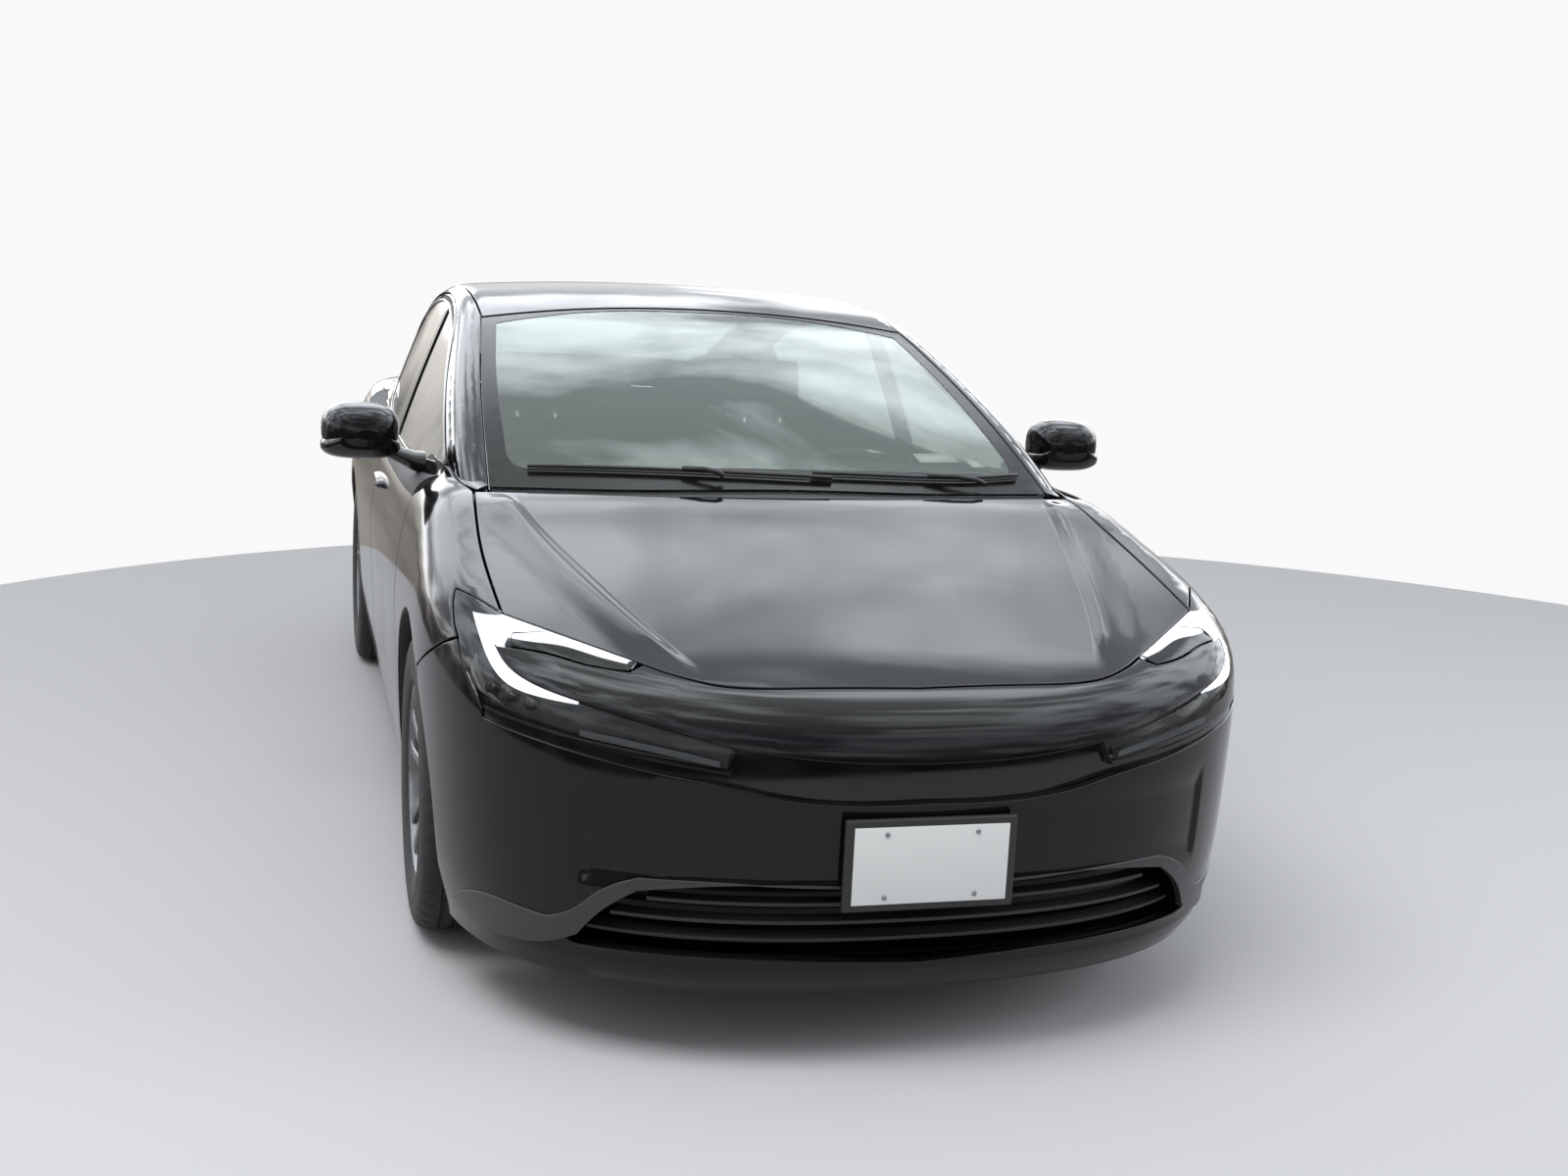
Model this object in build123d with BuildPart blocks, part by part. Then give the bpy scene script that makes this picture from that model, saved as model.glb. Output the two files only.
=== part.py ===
from build123d import *
import os
import numpy as np

# A five-door hybrid hatchback, in millimetres.  The nose faces -Y, +X is the car's left and
# the origin is on the ground under the middle of the car.

# ---------------------------------------------------------------- driving dimensions
front_overhang = 950.0
wheelbase = 2750.0
rear_overhang = 900.0
width = 1780.0
height = 1430.0
ground_clearance = 150.0
track = 1560.0
floor_height = 195.0
floor_depth = 25.0
tray_depth = 14.0
wall_depth = 16.0
seat_step = 190.0
boot_step = 360.0

tyre_radius = 333.0
tyre_width = 200.0
rim_radius = 216.0
rim_width = 165.0
arch_gap = 52.0
rear_arch_gap = 44.0

panel_gap = 5.0
nose_depth = 38.0
tail_depth = 50.0
door_depth = 105.0
shut_step = 14.0
frame_depth = 38.0
rail_depth = 60.0
roof_depth = 40.0
glass_depth = 5.0
glass_inset = 6.0
shoulder_radius = 70.0
rail_radius = 60.0
skin_limit = 30.0

length = front_overhang + wheelbase + rear_overhang
front_axle_y = -length / 2 + front_overhang
rear_axle_y = front_axle_y + wheelbase
floor_z = floor_height
floor_top = floor_z + floor_depth


# ---------------------------------------------------------------- body lines
# The lines are drawn at the base size: stations run back from the nose, heights up from the
# ground, half widths out from the centre plane.  These three turn them into the car's size.
def along(station):
    """Y of a station: the nose, both axles and the tail keep their own lengths."""
    marks = [0.0, 950.0, 3700.0, 4600.0]
    places = [-length / 2, front_axle_y, rear_axle_y, length / 2]
    if station <= marks[0]:
        return places[0] + station * front_overhang / marks[1]
    if station >= marks[3]:
        return places[3] + (station - marks[3]) * rear_overhang / 900.0
    return float(np.interp(station, marks, places))


def across(half_width):
    return half_width * width / 1780.0


def up(level):
    """Height of a level: the sill keeps the ground clearance, the roof the height."""
    if level <= 150.0:
        return level * ground_clearance / 150.0
    return ground_clearance + (level - 150.0) * (height - ground_clearance) / 1280.0


def smooth_line(points):
    """A natural cubic spline through the points, straight beyond its ends."""
    x = np.array([p[0] for p in points], float)
    y = np.array([p[1] for p in points], float)
    count = len(x)
    step = np.diff(x)
    matrix = np.eye(count)
    right = np.zeros(count)
    for i in range(1, count - 1):
        matrix[i, i - 1 : i + 2] = step[i - 1], 2 * (step[i - 1] + step[i]), step[i]
        right[i] = 6 * ((y[i + 1] - y[i]) / step[i] - (y[i] - y[i - 1]) / step[i - 1])
    bend = np.linalg.solve(matrix, right)

    def line(at):
        i = int(np.clip(np.searchsorted(x, at) - 1, 0, count - 2))
        h = step[i]
        if at < x[0]:
            return y[0] + ((y[1] - y[0]) / h - h * bend[1] / 6) * (at - x[0])
        if at > x[-1]:
            return y[-1] + ((y[-1] - y[-2]) / h + h * bend[-2] / 6) * (at - x[-1])
        a = x[i + 1] - at
        b = at - x[i]
        cubic = bend[i] * a**3 + bend[i + 1] * b**3
        return cubic / (6 * h) + (y[i] / h - bend[i] * h / 6) * a + (y[i + 1] / h - bend[i + 1] * h / 6) * b

    return line


flank = smooth_line(
    [(150, 838), (260, 864), (420, 880), (600, 889), (700, 890), (800, 881), (900, 858), (1000, 824),
            (1080, 792)]
)
nose = smooth_line(
    [(150, 70), (220, 34), (320, 8), (450, 0), (560, 0), (640, 4), (720, 22), (800, 68), (880, 130),
            (1000, 250)]
)
tail = smooth_line(
    [(150, 4530), (250, 4575), (400, 4597), (600, 4600), (760, 4585), (900, 4545), (1000, 4500), (1080,
            4450)]
)
deck = smooth_line(
    [(-100, 655), (0, 692), (130, 739), (300, 786), (600, 860), (900, 934), (1060, 974), (1200, 988),
            (1500, 978)]
    + [(2000, 966), (2500, 970), (3000, 985), (3600, 1012), (4200, 1030), (4450, 1015), (4600, 985)]
)
crest = smooth_line(
    [(800, 862), (1010, 962), (1300, 1090), (1600, 1203), (1900, 1302), (2100, 1360), (2300, 1400),
            (2550, 1425)]
    + [(2750, 1430), (3000, 1421), (3300, 1388), (3700, 1302), (4100, 1178), (4350, 1095), (4450, 1062)]
)
crest_drop = smooth_line(
    [(900, 48), (1500, 44), (2100, 36), (2700, 34), (3300, 42), (4000, 50), (4450, 55)]
)
belt = smooth_line(
    [(900, 690), (1100, 752), (1300, 786), (1600, 812), (2000, 824), (2500, 826), (3000, 816), (3500, 786)]
    + [(3900, 742), (4200, 700), (4450, 655)]
)
NOSE_START = 900.0
TAIL_START = 3750.0
SEAM = 2480.0


def deck_at(half_width, station):
    return deck(station) - 18.0 * (half_width / 850.0) ** 2


def crest_at(half_width, station):
    return crest(station) - crest_drop(station) * (half_width / 700.0) ** 2


def glass_side(station, level):
    rise = (level - 930.0) / 400.0
    return belt(station) - 128.0 * rise - 22.0 * rise * rise


def rail(station):
    """Level of the roof's side edge."""
    return crest_at(672.0, station)


# ---------------------------------------------------------------- master solids
def band_loops(level, inset):
    """Front and rear halves of the body's plan outline at a level, as points."""
    half = flank(level) - inset
    start = nose(level) + inset
    end = tail(level) - inset
    turns = np.radians([80, 70, 60, 50, 40, 30, 20, 10, 0])
    front = [(half, s) for s in (SEAM, 2000.0, 1500.0, 1150.0, NOSE_START)]
    reach = NOSE_START - start
    front += [(half * np.sin(a) ** (2 / 2.4), NOSE_START - reach * np.cos(a) ** (2 / 3.2)) for a in turns]
    rear = [(half, s) for s in (SEAM, 3000.0, 3400.0, TAIL_START)]
    reach = end - TAIL_START
    rear += [(half * np.sin(a) ** (2 / 2.6), TAIL_START + reach * np.cos(a) ** (2 / 3.0)) for a in turns]
    return [half_loop + [(-x, s) for x, s in half_loop[-2::-1]] for half_loop in (front, rear)]


def chord_shares(points):
    """Share of the outline's length at each point."""
    steps = np.hypot(*np.diff(np.array(points), axis=0).T)
    runs = np.concatenate([[0.0], np.cumsum(steps)])
    return [float(r) for r in runs / runs[-1]]


def placed(points):
    return [(across(x), along(s)) for x, s in points]


def lower_body(inset):
    """Everything under the belt line, shrunk by an inset."""
    shares = [chord_shares(loop) for loop in band_loops(600.0, 0.0)]
    with BuildPart() as band:
        lowest = 150 if inset == 0 else 40
        for level in (lowest, 260, 400, 560, 700, 800, 900, 1000, 1080):
            with BuildSketch(Plane.XY.offset(up(level))):
                with BuildLine():
                    for loop, share in zip(band_loops(level, inset), shares):
                        add(Edge.make_spline([Vector(*p) for p in placed(loop)], parameters=share))
                make_face()
        loft()
    with BuildPart() as body:
        stations = (-120, 0, 130, 300, 600, 900, 1100, 1500, 2300, 3000, 3600, 4200, 4450, 4700)
        loft([crown_section(deck_at, s, inset, 0.0) for s in stations])
        add(band.part, mode=Mode.INTERSECT)
        if inset < skin_limit:
            rim = [e for e in body.edges() if e.length > length]
            rim = [e for e in rim if e.center().Z > up(600)]
            fillet(rim, shoulder_radius - inset)
    return body.part


def crown_section(surface, station, inset, floor):
    """One cross-section under a crowned surface, from a floor level up."""
    reach = 1000.0
    middle = surface(0.0, station) - inset
    edge = surface(reach, station) - inset
    with BuildSketch(Plane.XZ.offset(-along(station))) as section:
        with BuildLine():
            left = (-across(reach), up(edge))
            right = (across(reach), up(edge))
            Bezier(left, (0, up(2 * middle - edge)), right)
            Polyline(right, (across(reach), up(floor)), (-across(reach), up(floor)), left)
        make_face()
    return section.sketch.face()


def greenhouse(inset):
    """Everything over the belt line: windshield, roof, side glass and hatch glass."""
    stations = (850, 1100, 1300, 1600, 2000, 2500, 3000, 3500, 3900, 4200, 4620)
    shares = chord_shares([(glass_side(s, 930), s) for s in stations])
    with BuildPart() as sides:
        for level in (850 if inset else 860, 930, 1130, 1330, 1500):
            edge = placed([(glass_side(s, level) - inset, s) for s in stations])
            other = [(-x, y) for x, y in edge]
            with BuildSketch(Plane.XY.offset(up(level))):
                with BuildLine():
                    add(Edge.make_spline([Vector(*p) for p in edge], parameters=shares))
                    add(Edge.make_spline([Vector(*p) for p in other], parameters=shares))
                    Line(edge[0], other[0])
                    Line(edge[-1], other[-1])
                make_face()
        loft()
    with BuildPart() as body:
        cuts = (850, 1010, 1300, 1600, 1900, 2100, 2300, 2550, 2750, 3000, 3300, 3700, 4100, 4350, 4500)
        loft([crown_section(crest_at, s, inset, 600.0) for s in cuts])
        add(sides.part, mode=Mode.INTERSECT)
        if inset < skin_limit:
            rim = [e for e in body.edges() if e.length > wheelbase and e.center().Z > up(1000)]
            fillet(rim, rail_radius - inset)
    return body.part


# ---------------------------------------------------------------- cutting blocks
def trace(runs):
    """Draw runs of points, each a line of two points or a curve of more."""
    for run in runs:
        if len(run) == 2:
            Line(*run)
        else:
            Spline(*run)


def closed(runs):
    """Close runs of points end to end with one last line."""
    first = runs[0][0]
    last = runs[-1][-1]
    return runs if first == last else runs + [[last, first]]


def tangents(run):
    """Unit direction of travel at each point of a run."""
    points = np.array(run, float)
    if len(points) == 2:
        steps = np.array([points[1] - points[0]] * 2)
    else:
        share = np.array(chord_shares(points))
        steps = np.gradient(points, share, axis=0, edge_order=2)
    return steps / np.linalg.norm(steps, axis=1)[:, None]


def meeting(point_a, way_a, point_b, way_b):
    """Where two lines cross, or the point between their starts if they are parallel."""
    matrix = np.array([way_a, -way_b]).T
    if abs(np.linalg.det(matrix)) < 0.05:
        return (point_a + point_b) / 2
    share = np.linalg.solve(matrix, point_b - point_a)[0]
    return point_a + share * way_a


def inset(runs, amount):
    """A closed outline of runs, moved inwards by an amount."""
    corners = np.array([p for run in runs for p in run[:-1]], float)
    ahead = np.roll(corners, -1, axis=0)
    area = np.sum(corners[:, 0] * ahead[:, 1] - ahead[:, 0] * corners[:, 1])
    side = amount if area > 0 else -amount
    ways = [tangents(run) for run in runs]
    moved = [np.array(run, float) + side * np.column_stack([-w[:, 1], w[:, 0]]) for run, w in zip(runs,
            ways)]
    for i in range(len(runs)):
        j = (i + 1) % len(runs)
        corner = meeting(moved[i][-1], ways[i][-1], moved[j][0], ways[j][0])
        moved[i][-1] = corner
        moved[j][0] = corner
    return [[tuple(float(v) for v in p) for p in run] for run in moved]


def outline_block(plane, runs, depth, shrink=0.0, way=None):
    """A closed outline, inset by a shrink, pushed out from a plane."""
    drawn = inset(runs, shrink) if shrink else runs
    with BuildPart() as block:
        with BuildSketch(plane):
            with BuildLine():
                trace(drawn)
            make_face()
        extrude(amount=depth, dir=way)
    return block.part


def side_block(runs, inner, outer, shrink=0.0):
    """A block with a side-view outline of (station, level) runs, between two half widths."""
    drawn = [[(along(s), up(z)) for s, z in run] for run in closed(runs)]
    return outline_block(Plane.YZ.offset(inner), drawn, outer - inner, shrink)


def plan_block(runs, bottom, top, shrink=0.0):
    """A block with a plan outline of (half width, station) runs, between two levels."""
    drawn = [[(across(x), along(s)) for x, s in run] for run in closed(runs)]
    return outline_block(Plane.XY.offset(up(bottom)), drawn, up(top) - up(bottom), shrink)


def leaning_block(runs, bottom, top, lean, shrink=0.0):
    """A plan block that leans towards the nose as it rises and meets the deck on its outline."""
    drawn = [
        [(across(x), along(s) + lean * (up(deck_at(x, s)) - up(bottom))) for x, s in run]
        for run in closed(runs)
    ]
    return outline_block(Plane.XY.offset(up(bottom)), drawn, up(top) - up(bottom), shrink, (0, -lean, 1))


def front_block(runs, start, end, shrink=0.0):
    """A block with a front-view outline of (half width, level) runs, between two stations."""
    drawn = [[(across(x), up(z)) for x, z in run] for run in closed(runs)]
    return outline_block(Plane.XZ.offset(-along(end)), drawn, along(end) - along(start), shrink)


def wheel_well(axle_y, radius, inner):
    """A cylinder across one wheel's arch, from an inner half width out."""
    with BuildPart() as well:
        with BuildSketch(Plane.YZ.offset(inner)):
            with Locations((axle_y, tyre_radius)):
                Circle(radius)
        extrude(amount=width)
    return well.part


def slab(bottom, top, start, end, half_width):
    """A box between two heights, two stations and both sides."""
    with BuildPart() as box:
        with BuildSketch(Plane.XY.offset(bottom)):
            with Locations((0, (along(start) + along(end)) / 2)):
                Rectangle(2 * half_width, along(end) - along(start))
        extrude(amount=top - bottom)
    return box.part


def left_box(x0, x1, start, end, bottom, top):
    with BuildPart() as box:
        with BuildSketch(Plane.XY.offset(bottom)):
            with Locations(((x0 + x1) / 2, (along(start) + along(end)) / 2)):
                Rectangle(x1 - x0, along(end) - along(start))
        extrude(amount=top - bottom)
    return box.part


def keep(shape, name):
    """Label a finished piece and write it out."""
    shape.label = name
    export_step(shape, "parts/" + name + ".step")


# ---------------------------------------------------------------- outlines of the panels
def frame_top(station):
    """Top edge of the doors' window frames, under the roof's side edge."""
    under = np.interp(station, [1370, 1800, 2200, 2600, 3300, 3745], [75, 60, 30, 22, 25, 45])
    return float(rail(station) - under)


def top_run(start, end, steps, under=0.0):
    return [(s, frame_top(s) - under) for s in np.linspace(start, end, steps)]


FRONT_CUT = 1370.0
DOOR_SILL = 235.0
front_door_outline = [
    [(SEAM, DOOR_SILL), (FRONT_CUT, DOOR_SILL)],
    [(FRONT_CUT, DOOR_SILL), (FRONT_CUT, frame_top(FRONT_CUT))],
    top_run(FRONT_CUT, SEAM, 7),
]
rear_door_outline = [
    [(3268, DOOR_SILL), (SEAM, DOOR_SILL)],
    [(SEAM, DOOR_SILL), (SEAM, frame_top(SEAM))],
    top_run(SEAM, 3745, 7),
    [(3745, frame_top(3745)), (3728, 1080), (3650, 940), (3530, 810), (3420, 680), (3330, 570), (3275, 440)]
    + [(3260, 333), (3268, DOOR_SILL)],
]
front_glass_outline = [
    [(2440, 948), (2000, 948), (1500, 985)],
    [(1500, 985), (1500, frame_top(1500) - 28)],
    top_run(1500, 2440, 6, 28),
]
rear_glass_outline = [
    [(3600, 1022), (3250, 978), (2900, 958), (2520, 948)],
    [(2520, 948), (2520, frame_top(2520) - 28)],
    top_run(2520, 3660, 6, 28),
    [(3660, frame_top(3660) - 28), (3600, 1022)],
]
hood_outline = [
    [(-478, 195), (-400, 145), (-220, 120), (0, 112), (220, 120), (400, 145), (478, 195)],
    [(478, 195), (610, 322), (743, 455)],
    [(743, 455), (750, 780), (733, 1098)],
    [(733, 1098), (400, 1052), (0, 1036), (-400, 1052), (-733, 1098)],
    [(-733, 1098), (-750, 780), (-743, 455)],
    [(-743, 455), (-610, 322), (-478, 195)],
]
windshield_outline = [
    [(-695, 1140), (-400, 1082), (0, 1064), (400, 1082), (695, 1140)],
    [(695, 1140), (665, 1600), (614, 2084)],
    [(614, 2084), (320, 2130), (0, 2144), (-320, 2130), (-614, 2084)],
    [(-614, 2084), (-665, 1600), (-695, 1140)],
]
ROOF_END = 3345.0
SLOT_DEPTH = 24.0
roof_outline = [
    [(614, 2084), (320, 2130), (0, 2144), (-320, 2130), (-614, 2084)],
    [(-614, 2084), (-606, ROOF_END)],
    [(-606, ROOF_END), (606, ROOF_END)],
    [(606, ROOF_END), (614, 2084)],
]
gate_outline = [
    [(-606, ROOF_END), (606, ROOF_END)],
    [(606, ROOF_END), (612, 4000), (600, 4480)],
    [(600, 4480), (-600, 4480)],
    [(-600, 4480), (-612, 4000), (-606, ROOF_END)],
]
gate_glass_outline = [
    [(-520, 3480), (0, 3462), (520, 3480)],
    [(520, 3480), (505, 4230)],
    [(505, 4230), (0, 4262), (-505, 4230)],
    [(-505, 4230), (-520, 3480)],
]
gate_back_outline = [
    [(-600, 1200), (-600, 905)],
    [(-600, 905), (-545, 700)],
    [(-545, 700), (-480, 640)],
    [(-480, 640), (480, 640)],
    [(480, 640), (545, 700)],
    [(545, 700), (600, 905)],
    [(600, 905), (600, 1200)],
]
lamp_outline = [
    [(822, 838), (743, 826)],
    [(743, 826), (610, 790), (440, 740)],
    [(440, 740), (368, 637)],
    [(368, 637), (520, 640), (686, 650)],
    [(686, 650), (793, 656)],
    [(793, 656), (845, 740), (822, 838)],
]
bumper_outline = [
    [(-60, 100), (700, 100)],
    [(700, 100), (700, 655)],
    [(700, 655), (452, 768)],
    [(452, 768), (452, 900)],
    [(452, 900), (-60, 900)],
]
fender_outline = [
    [(FRONT_CUT, 150), (FRONT_CUT, 1100)],
    [(FRONT_CUT, 1100), (452, 1100)],
    [(452, 1100), (452, 768)],
    [(452, 768), (700, 655)],
    [(700, 655), (700, 560)],
    [(700, 560), (1000, 560)],
    [(1000, 560), (1000, 150)],
]
rear_bumper_outline = [
    [(3905, 100), (3905, 650)],
    [(3905, 650), (4120, 705), (4330, 800)],
    [(4330, 800), (4330, 905)],
    [(4330, 905), (4700, 905)],
    [(4700, 905), (4700, 100)],
]
quarter_outline = [
    [(3100, 150), (3905, 150)],
    [(3905, 150), (3905, 650)],
    [(3905, 650), (4120, 705), (4330, 800)],
    [(4330, 800), (4330, 905)],
    [(4330, 905), (4700, 905)],
    [(4700, 905), (4700, 1100)],
    [(4700, 1100), (3100, 1100)],
]
tail_lamp_outline = [
    [(4230, 985), (4640, 918)],
    [(4640, 918), (4640, 992)],
    [(4640, 992), (4230, 985)],
]
intake_outline = [
    [(-580, 236), (0, 222), (580, 236)],
    [(580, 236), (560, 300), (470, 368)],
    [(470, 368), (-470, 368)],
    [(-470, 368), (-560, 300), (-580, 236)],
]
slot_outline = [
    [(-365, 600), (-281, 552), (0, 541), (281, 552), (365, 600)],
    [(365, 600), (340, 634)],
    [(340, 634), (0, 613), (-340, 634)],
    [(-340, 634), (-365, 600)],
]


# ---------------------------------------------------------------- shared solids
FRAME_INSIDE = 622.0
BULKHEAD = 1340.0
CRADLE_FRONT = 820.0
CRADLE_REAR = 1120.0
cradle_top = floor_z + 74.0
HOOD_LEAN = 0.25


def stepped_door(outline):
    """A door opening's fill, its inner edge set in by a shut step below the glass."""
    skin_line = across(840)
    inside = across(FRAME_INSIDE)
    with BuildPart() as inner_edge:
        add(left_box(inside, skin_line, 1200, 4000, 0, up(900)))
        add(side_block(outline, inside, skin_line, panel_gap + shut_step), mode=Mode.SUBTRACT)
    with BuildPart() as fill:
        add(side_block(outline, inside, width, panel_gap))
        add(inner_edge.part, mode=Mode.SUBTRACT)
    return fill.part


def both_sides(shape):
    """A left-hand piece and its mirror image, as solids that don't touch."""
    return Compound([*shape.solids(), *mirror(shape, about=Plane.YZ).solids()])


os.makedirs("parts", exist_ok=True)

outer = lower_body(0)
top = greenhouse(0)
under_door = lower_body(door_depth)
under_tail = lower_body(tail_depth)
under_rail = greenhouse(rail_depth)
under_frame = greenhouse(frame_depth)
under_roof = greenhouse(roof_depth)
glass_face = greenhouse(glass_inset)
glass_back = greenhouse(glass_inset + glass_depth)
under_nose = lower_body(nose_depth)
front_shell = (outer & slab(up(100), up(1100), -100, FRONT_CUT, width)) - under_nose
rear_shell = (outer & slab(up(100), up(1100), 3100, 4700, width)) - under_tail

front_arch = tyre_radius + arch_gap
rear_arch = tyre_radius + rear_arch_gap
well_inner = across(475)
front_well = wheel_well(front_axle_y, front_arch, well_inner)
rear_well = wheel_well(rear_axle_y, rear_arch, well_inner)

hood_hole = leaning_block(hood_outline, 600, 1200, HOOD_LEAN)
shield_hole = plan_block(windshield_outline, 850, 1500)
roof_hole = plan_block(roof_outline, 850, 1500)
gate_top_hole = plan_block(gate_outline, 850, 1500)
gate_back_hole = front_block(gate_back_outline, 4100, 4700)
lamp_hole = front_block(lamp_outline, -60, 700)
tail_lamp_hole = side_block(tail_lamp_outline, 0, width)
rear_bumper_hole = side_block(rear_bumper_outline, -width, width)
front_hole = side_block(front_door_outline, across(FRAME_INSIDE) - panel_gap, width)
rear_hole = side_block(rear_door_outline, across(FRAME_INSIDE) - panel_gap, width)

plate_hole_radius = 3.5
plate_hole_half_pitch = (89.0, 60.5)


def plate_holes(level, start, end):
    """Four screw holes for a number plate, along Y."""
    with BuildPart() as holes:
        with BuildSketch(Plane.XZ.offset(-along(end))):
            with Locations((0, up(level))):
                with GridLocations(2 * plate_hole_half_pitch[0], 2 * plate_hole_half_pitch[1], 2, 2):
                    Circle(plate_hole_radius)
        extrude(amount=along(end) - along(start))
    return holes.part


# ---------------------------------------------------------------- doors
for name, outline, pane in (
    ("front", front_door_outline, front_glass_outline),
    ("rear", rear_door_outline, rear_glass_outline),
):
    opening = side_block(pane, width / 4, width)
    fill = stepped_door(outline)
    with BuildPart() as door:
        add((outer & fill) - under_door - under_frame)
        add((top & fill) - under_frame)
        add(opening, mode=Mode.SUBTRACT)
    with BuildPart() as glass:
        add((glass_face & opening) - glass_back)
    keep(door.part, name + "_door_left")
    keep(mirror(door.part, about=Plane.YZ), name + "_door_right")
    keep(glass.part, name + "_door_glass_left")
    keep(mirror(glass.part, about=Plane.YZ), name + "_door_glass_right")

# ---------------------------------------------------------------- hood, roof, windshield, cowl
with BuildPart() as hood:
    add(front_shell & leaning_block(hood_outline, 600, 1200, HOOD_LEAN, panel_gap))
keep(hood.part, "hood")

with BuildPart() as roof_panel:
    add((top & roof_hole) - under_roof)
keep(roof_panel.part, "roof_panel")

with BuildPart() as windshield:
    add((glass_face & shield_hole) - glass_back)
keep(windshield.part, "windshield")

with BuildPart() as cowl_panel:
    add((glass_back & slab(up(860), height, 1040, 1215, across(690))) - under_rail)
    add(hood_hole, mode=Mode.SUBTRACT)
keep(cowl_panel.part, "cowl_panel")

# ---------------------------------------------------------------- tailgate
gate_glass_hole = plan_block(gate_glass_outline, 850, 1500)
lamp_bar_outline = [[(-597, 925), (597, 925)], [(597, 925), (597, 985)], [(597, 985), (-597, 985)]]
lamp_bar_hole = front_block(lamp_bar_outline, 4300, 4700)
gate_hollow = greenhouse(tail_depth) & slab(up(850), 2 * height, 3000, 4430, width)
with BuildPart() as tailgate:
    add((top & plan_block(gate_outline, 912, 1500, panel_gap)) - gate_hollow)
    add((rear_shell & front_block(gate_back_outline, 4100, 4700, panel_gap)) - gate_hollow)
    add(gate_glass_hole, mode=Mode.SUBTRACT)
    add(lamp_bar_hole & rear_shell, mode=Mode.SUBTRACT)
    add(plate_holes(770, 4480, 4700), mode=Mode.SUBTRACT)
print("tailgate", [round(x.volume / 1e3) for x in tailgate.part.solids()])
keep(tailgate.part, "tailgate")

with BuildPart() as tailgate_glass:
    add((glass_face & gate_glass_hole) - glass_back)
keep(tailgate_glass.part, "tailgate_glass")

with BuildPart() as lamp_bar:
    add(rear_shell & lamp_bar_hole)
keep(lamp_bar.part, "tail_lamp_bar")

# ---------------------------------------------------------------- body sides
with BuildPart() as sill_side:
    add((outer & left_box(across(600), width, FRONT_CUT, 3330, 0, up(DOOR_SILL))) - under_door)
with BuildPart() as quarter:
    add((rear_shell & side_block(quarter_outline, 0, width)) - under_rail)
with BuildPart() as ring:
    add((top & left_box(0, width, 1050, 4480, up(850), 2 * height)) - under_rail)
    add(slab(0, 2 * height, 1000, 1180, across(697)), mode=Mode.SUBTRACT)
with BuildPart() as body_side:
    add(ring.part)
    add(quarter.part)
    add(sill_side.part)
    for hole in (front_hole, rear_hole, shield_hole, roof_hole, gate_top_hole, gate_back_hole):
        add(hole, mode=Mode.SUBTRACT)
    for hole in (tail_lamp_hole, rear_bumper_hole, rear_well, hood_hole):
        add(hole, mode=Mode.SUBTRACT)
    add(left_box(across(700), across(790), BULKHEAD, FRONT_CUT, floor_top, up(935)))
    add(left_box(across(640), across(738), SEAM - 55, SEAM + 55, floor_top, up(935)))
    add(left_box(across(640), across(775), SEAM - 55, SEAM + 55, floor_top, up(DOOR_SILL) - 2))
print("body side", [round(x.volume / 1e3) for x in body_side.part.solids()])
keep(body_side.part, "body_side_left")
keep(mirror(body_side.part, about=Plane.YZ), "body_side_right")

# ---------------------------------------------------------------- fenders, bumpers, lamps
with BuildPart() as fender:
    add(front_shell & side_block(fender_outline, across(300), width))
    for hole in (hood_hole, lamp_hole, front_well, top):
        add(hole, mode=Mode.SUBTRACT)
    add(left_box(0, across(733), 1000, 1400, 0, height), mode=Mode.SUBTRACT)
print("fender", [round(x.volume / 1e3) for x in fender.part.solids()])
keep(both_sides(fender.part), "fenders")

with BuildPart() as headlamp:
    add(front_shell & lamp_hole)
    add(hood_hole, mode=Mode.SUBTRACT)
print("headlamp", [round(x.volume / 1e3) for x in headlamp.part.solids()])
keep(both_sides(headlamp.part), "headlamps")

with BuildPart() as front_bumper:
    add(front_shell & side_block(bumper_outline, -width, width))
    for hole in (lamp_hole, front_well):
        add(hole, mode=Mode.SUBTRACT)
        add(mirror(hole, about=Plane.YZ), mode=Mode.SUBTRACT)
    add(hood_hole, mode=Mode.SUBTRACT)
    add(front_block(intake_outline, -60, 600), mode=Mode.SUBTRACT)
    add(front_block(slot_outline, -60, SLOT_DEPTH), mode=Mode.SUBTRACT)
    add(plate_holes(441.5, -60, 100), mode=Mode.SUBTRACT)
print("front bumper", [round(x.volume / 1e3) for x in front_bumper.part.solids()])
keep(front_bumper.part, "front_bumper")

with BuildPart() as rear_bumper:
    add(rear_shell & rear_bumper_hole)
    add(gate_back_hole, mode=Mode.SUBTRACT)
    add(rear_well, mode=Mode.SUBTRACT)
    add(mirror(rear_well, about=Plane.YZ), mode=Mode.SUBTRACT)
print("rear bumper", [round(x.volume / 1e3) for x in rear_bumper.part.solids()])
keep(rear_bumper.part, "rear_bumper")

with BuildPart() as tail_lamp:
    add(rear_shell & tail_lamp_hole)
    add(gate_back_hole, mode=Mode.SUBTRACT)
print("tail lamp", [round(x.volume / 1e3) for x in tail_lamp.part.solids()])
keep(both_sides(tail_lamp.part), "tail_lamps")

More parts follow.
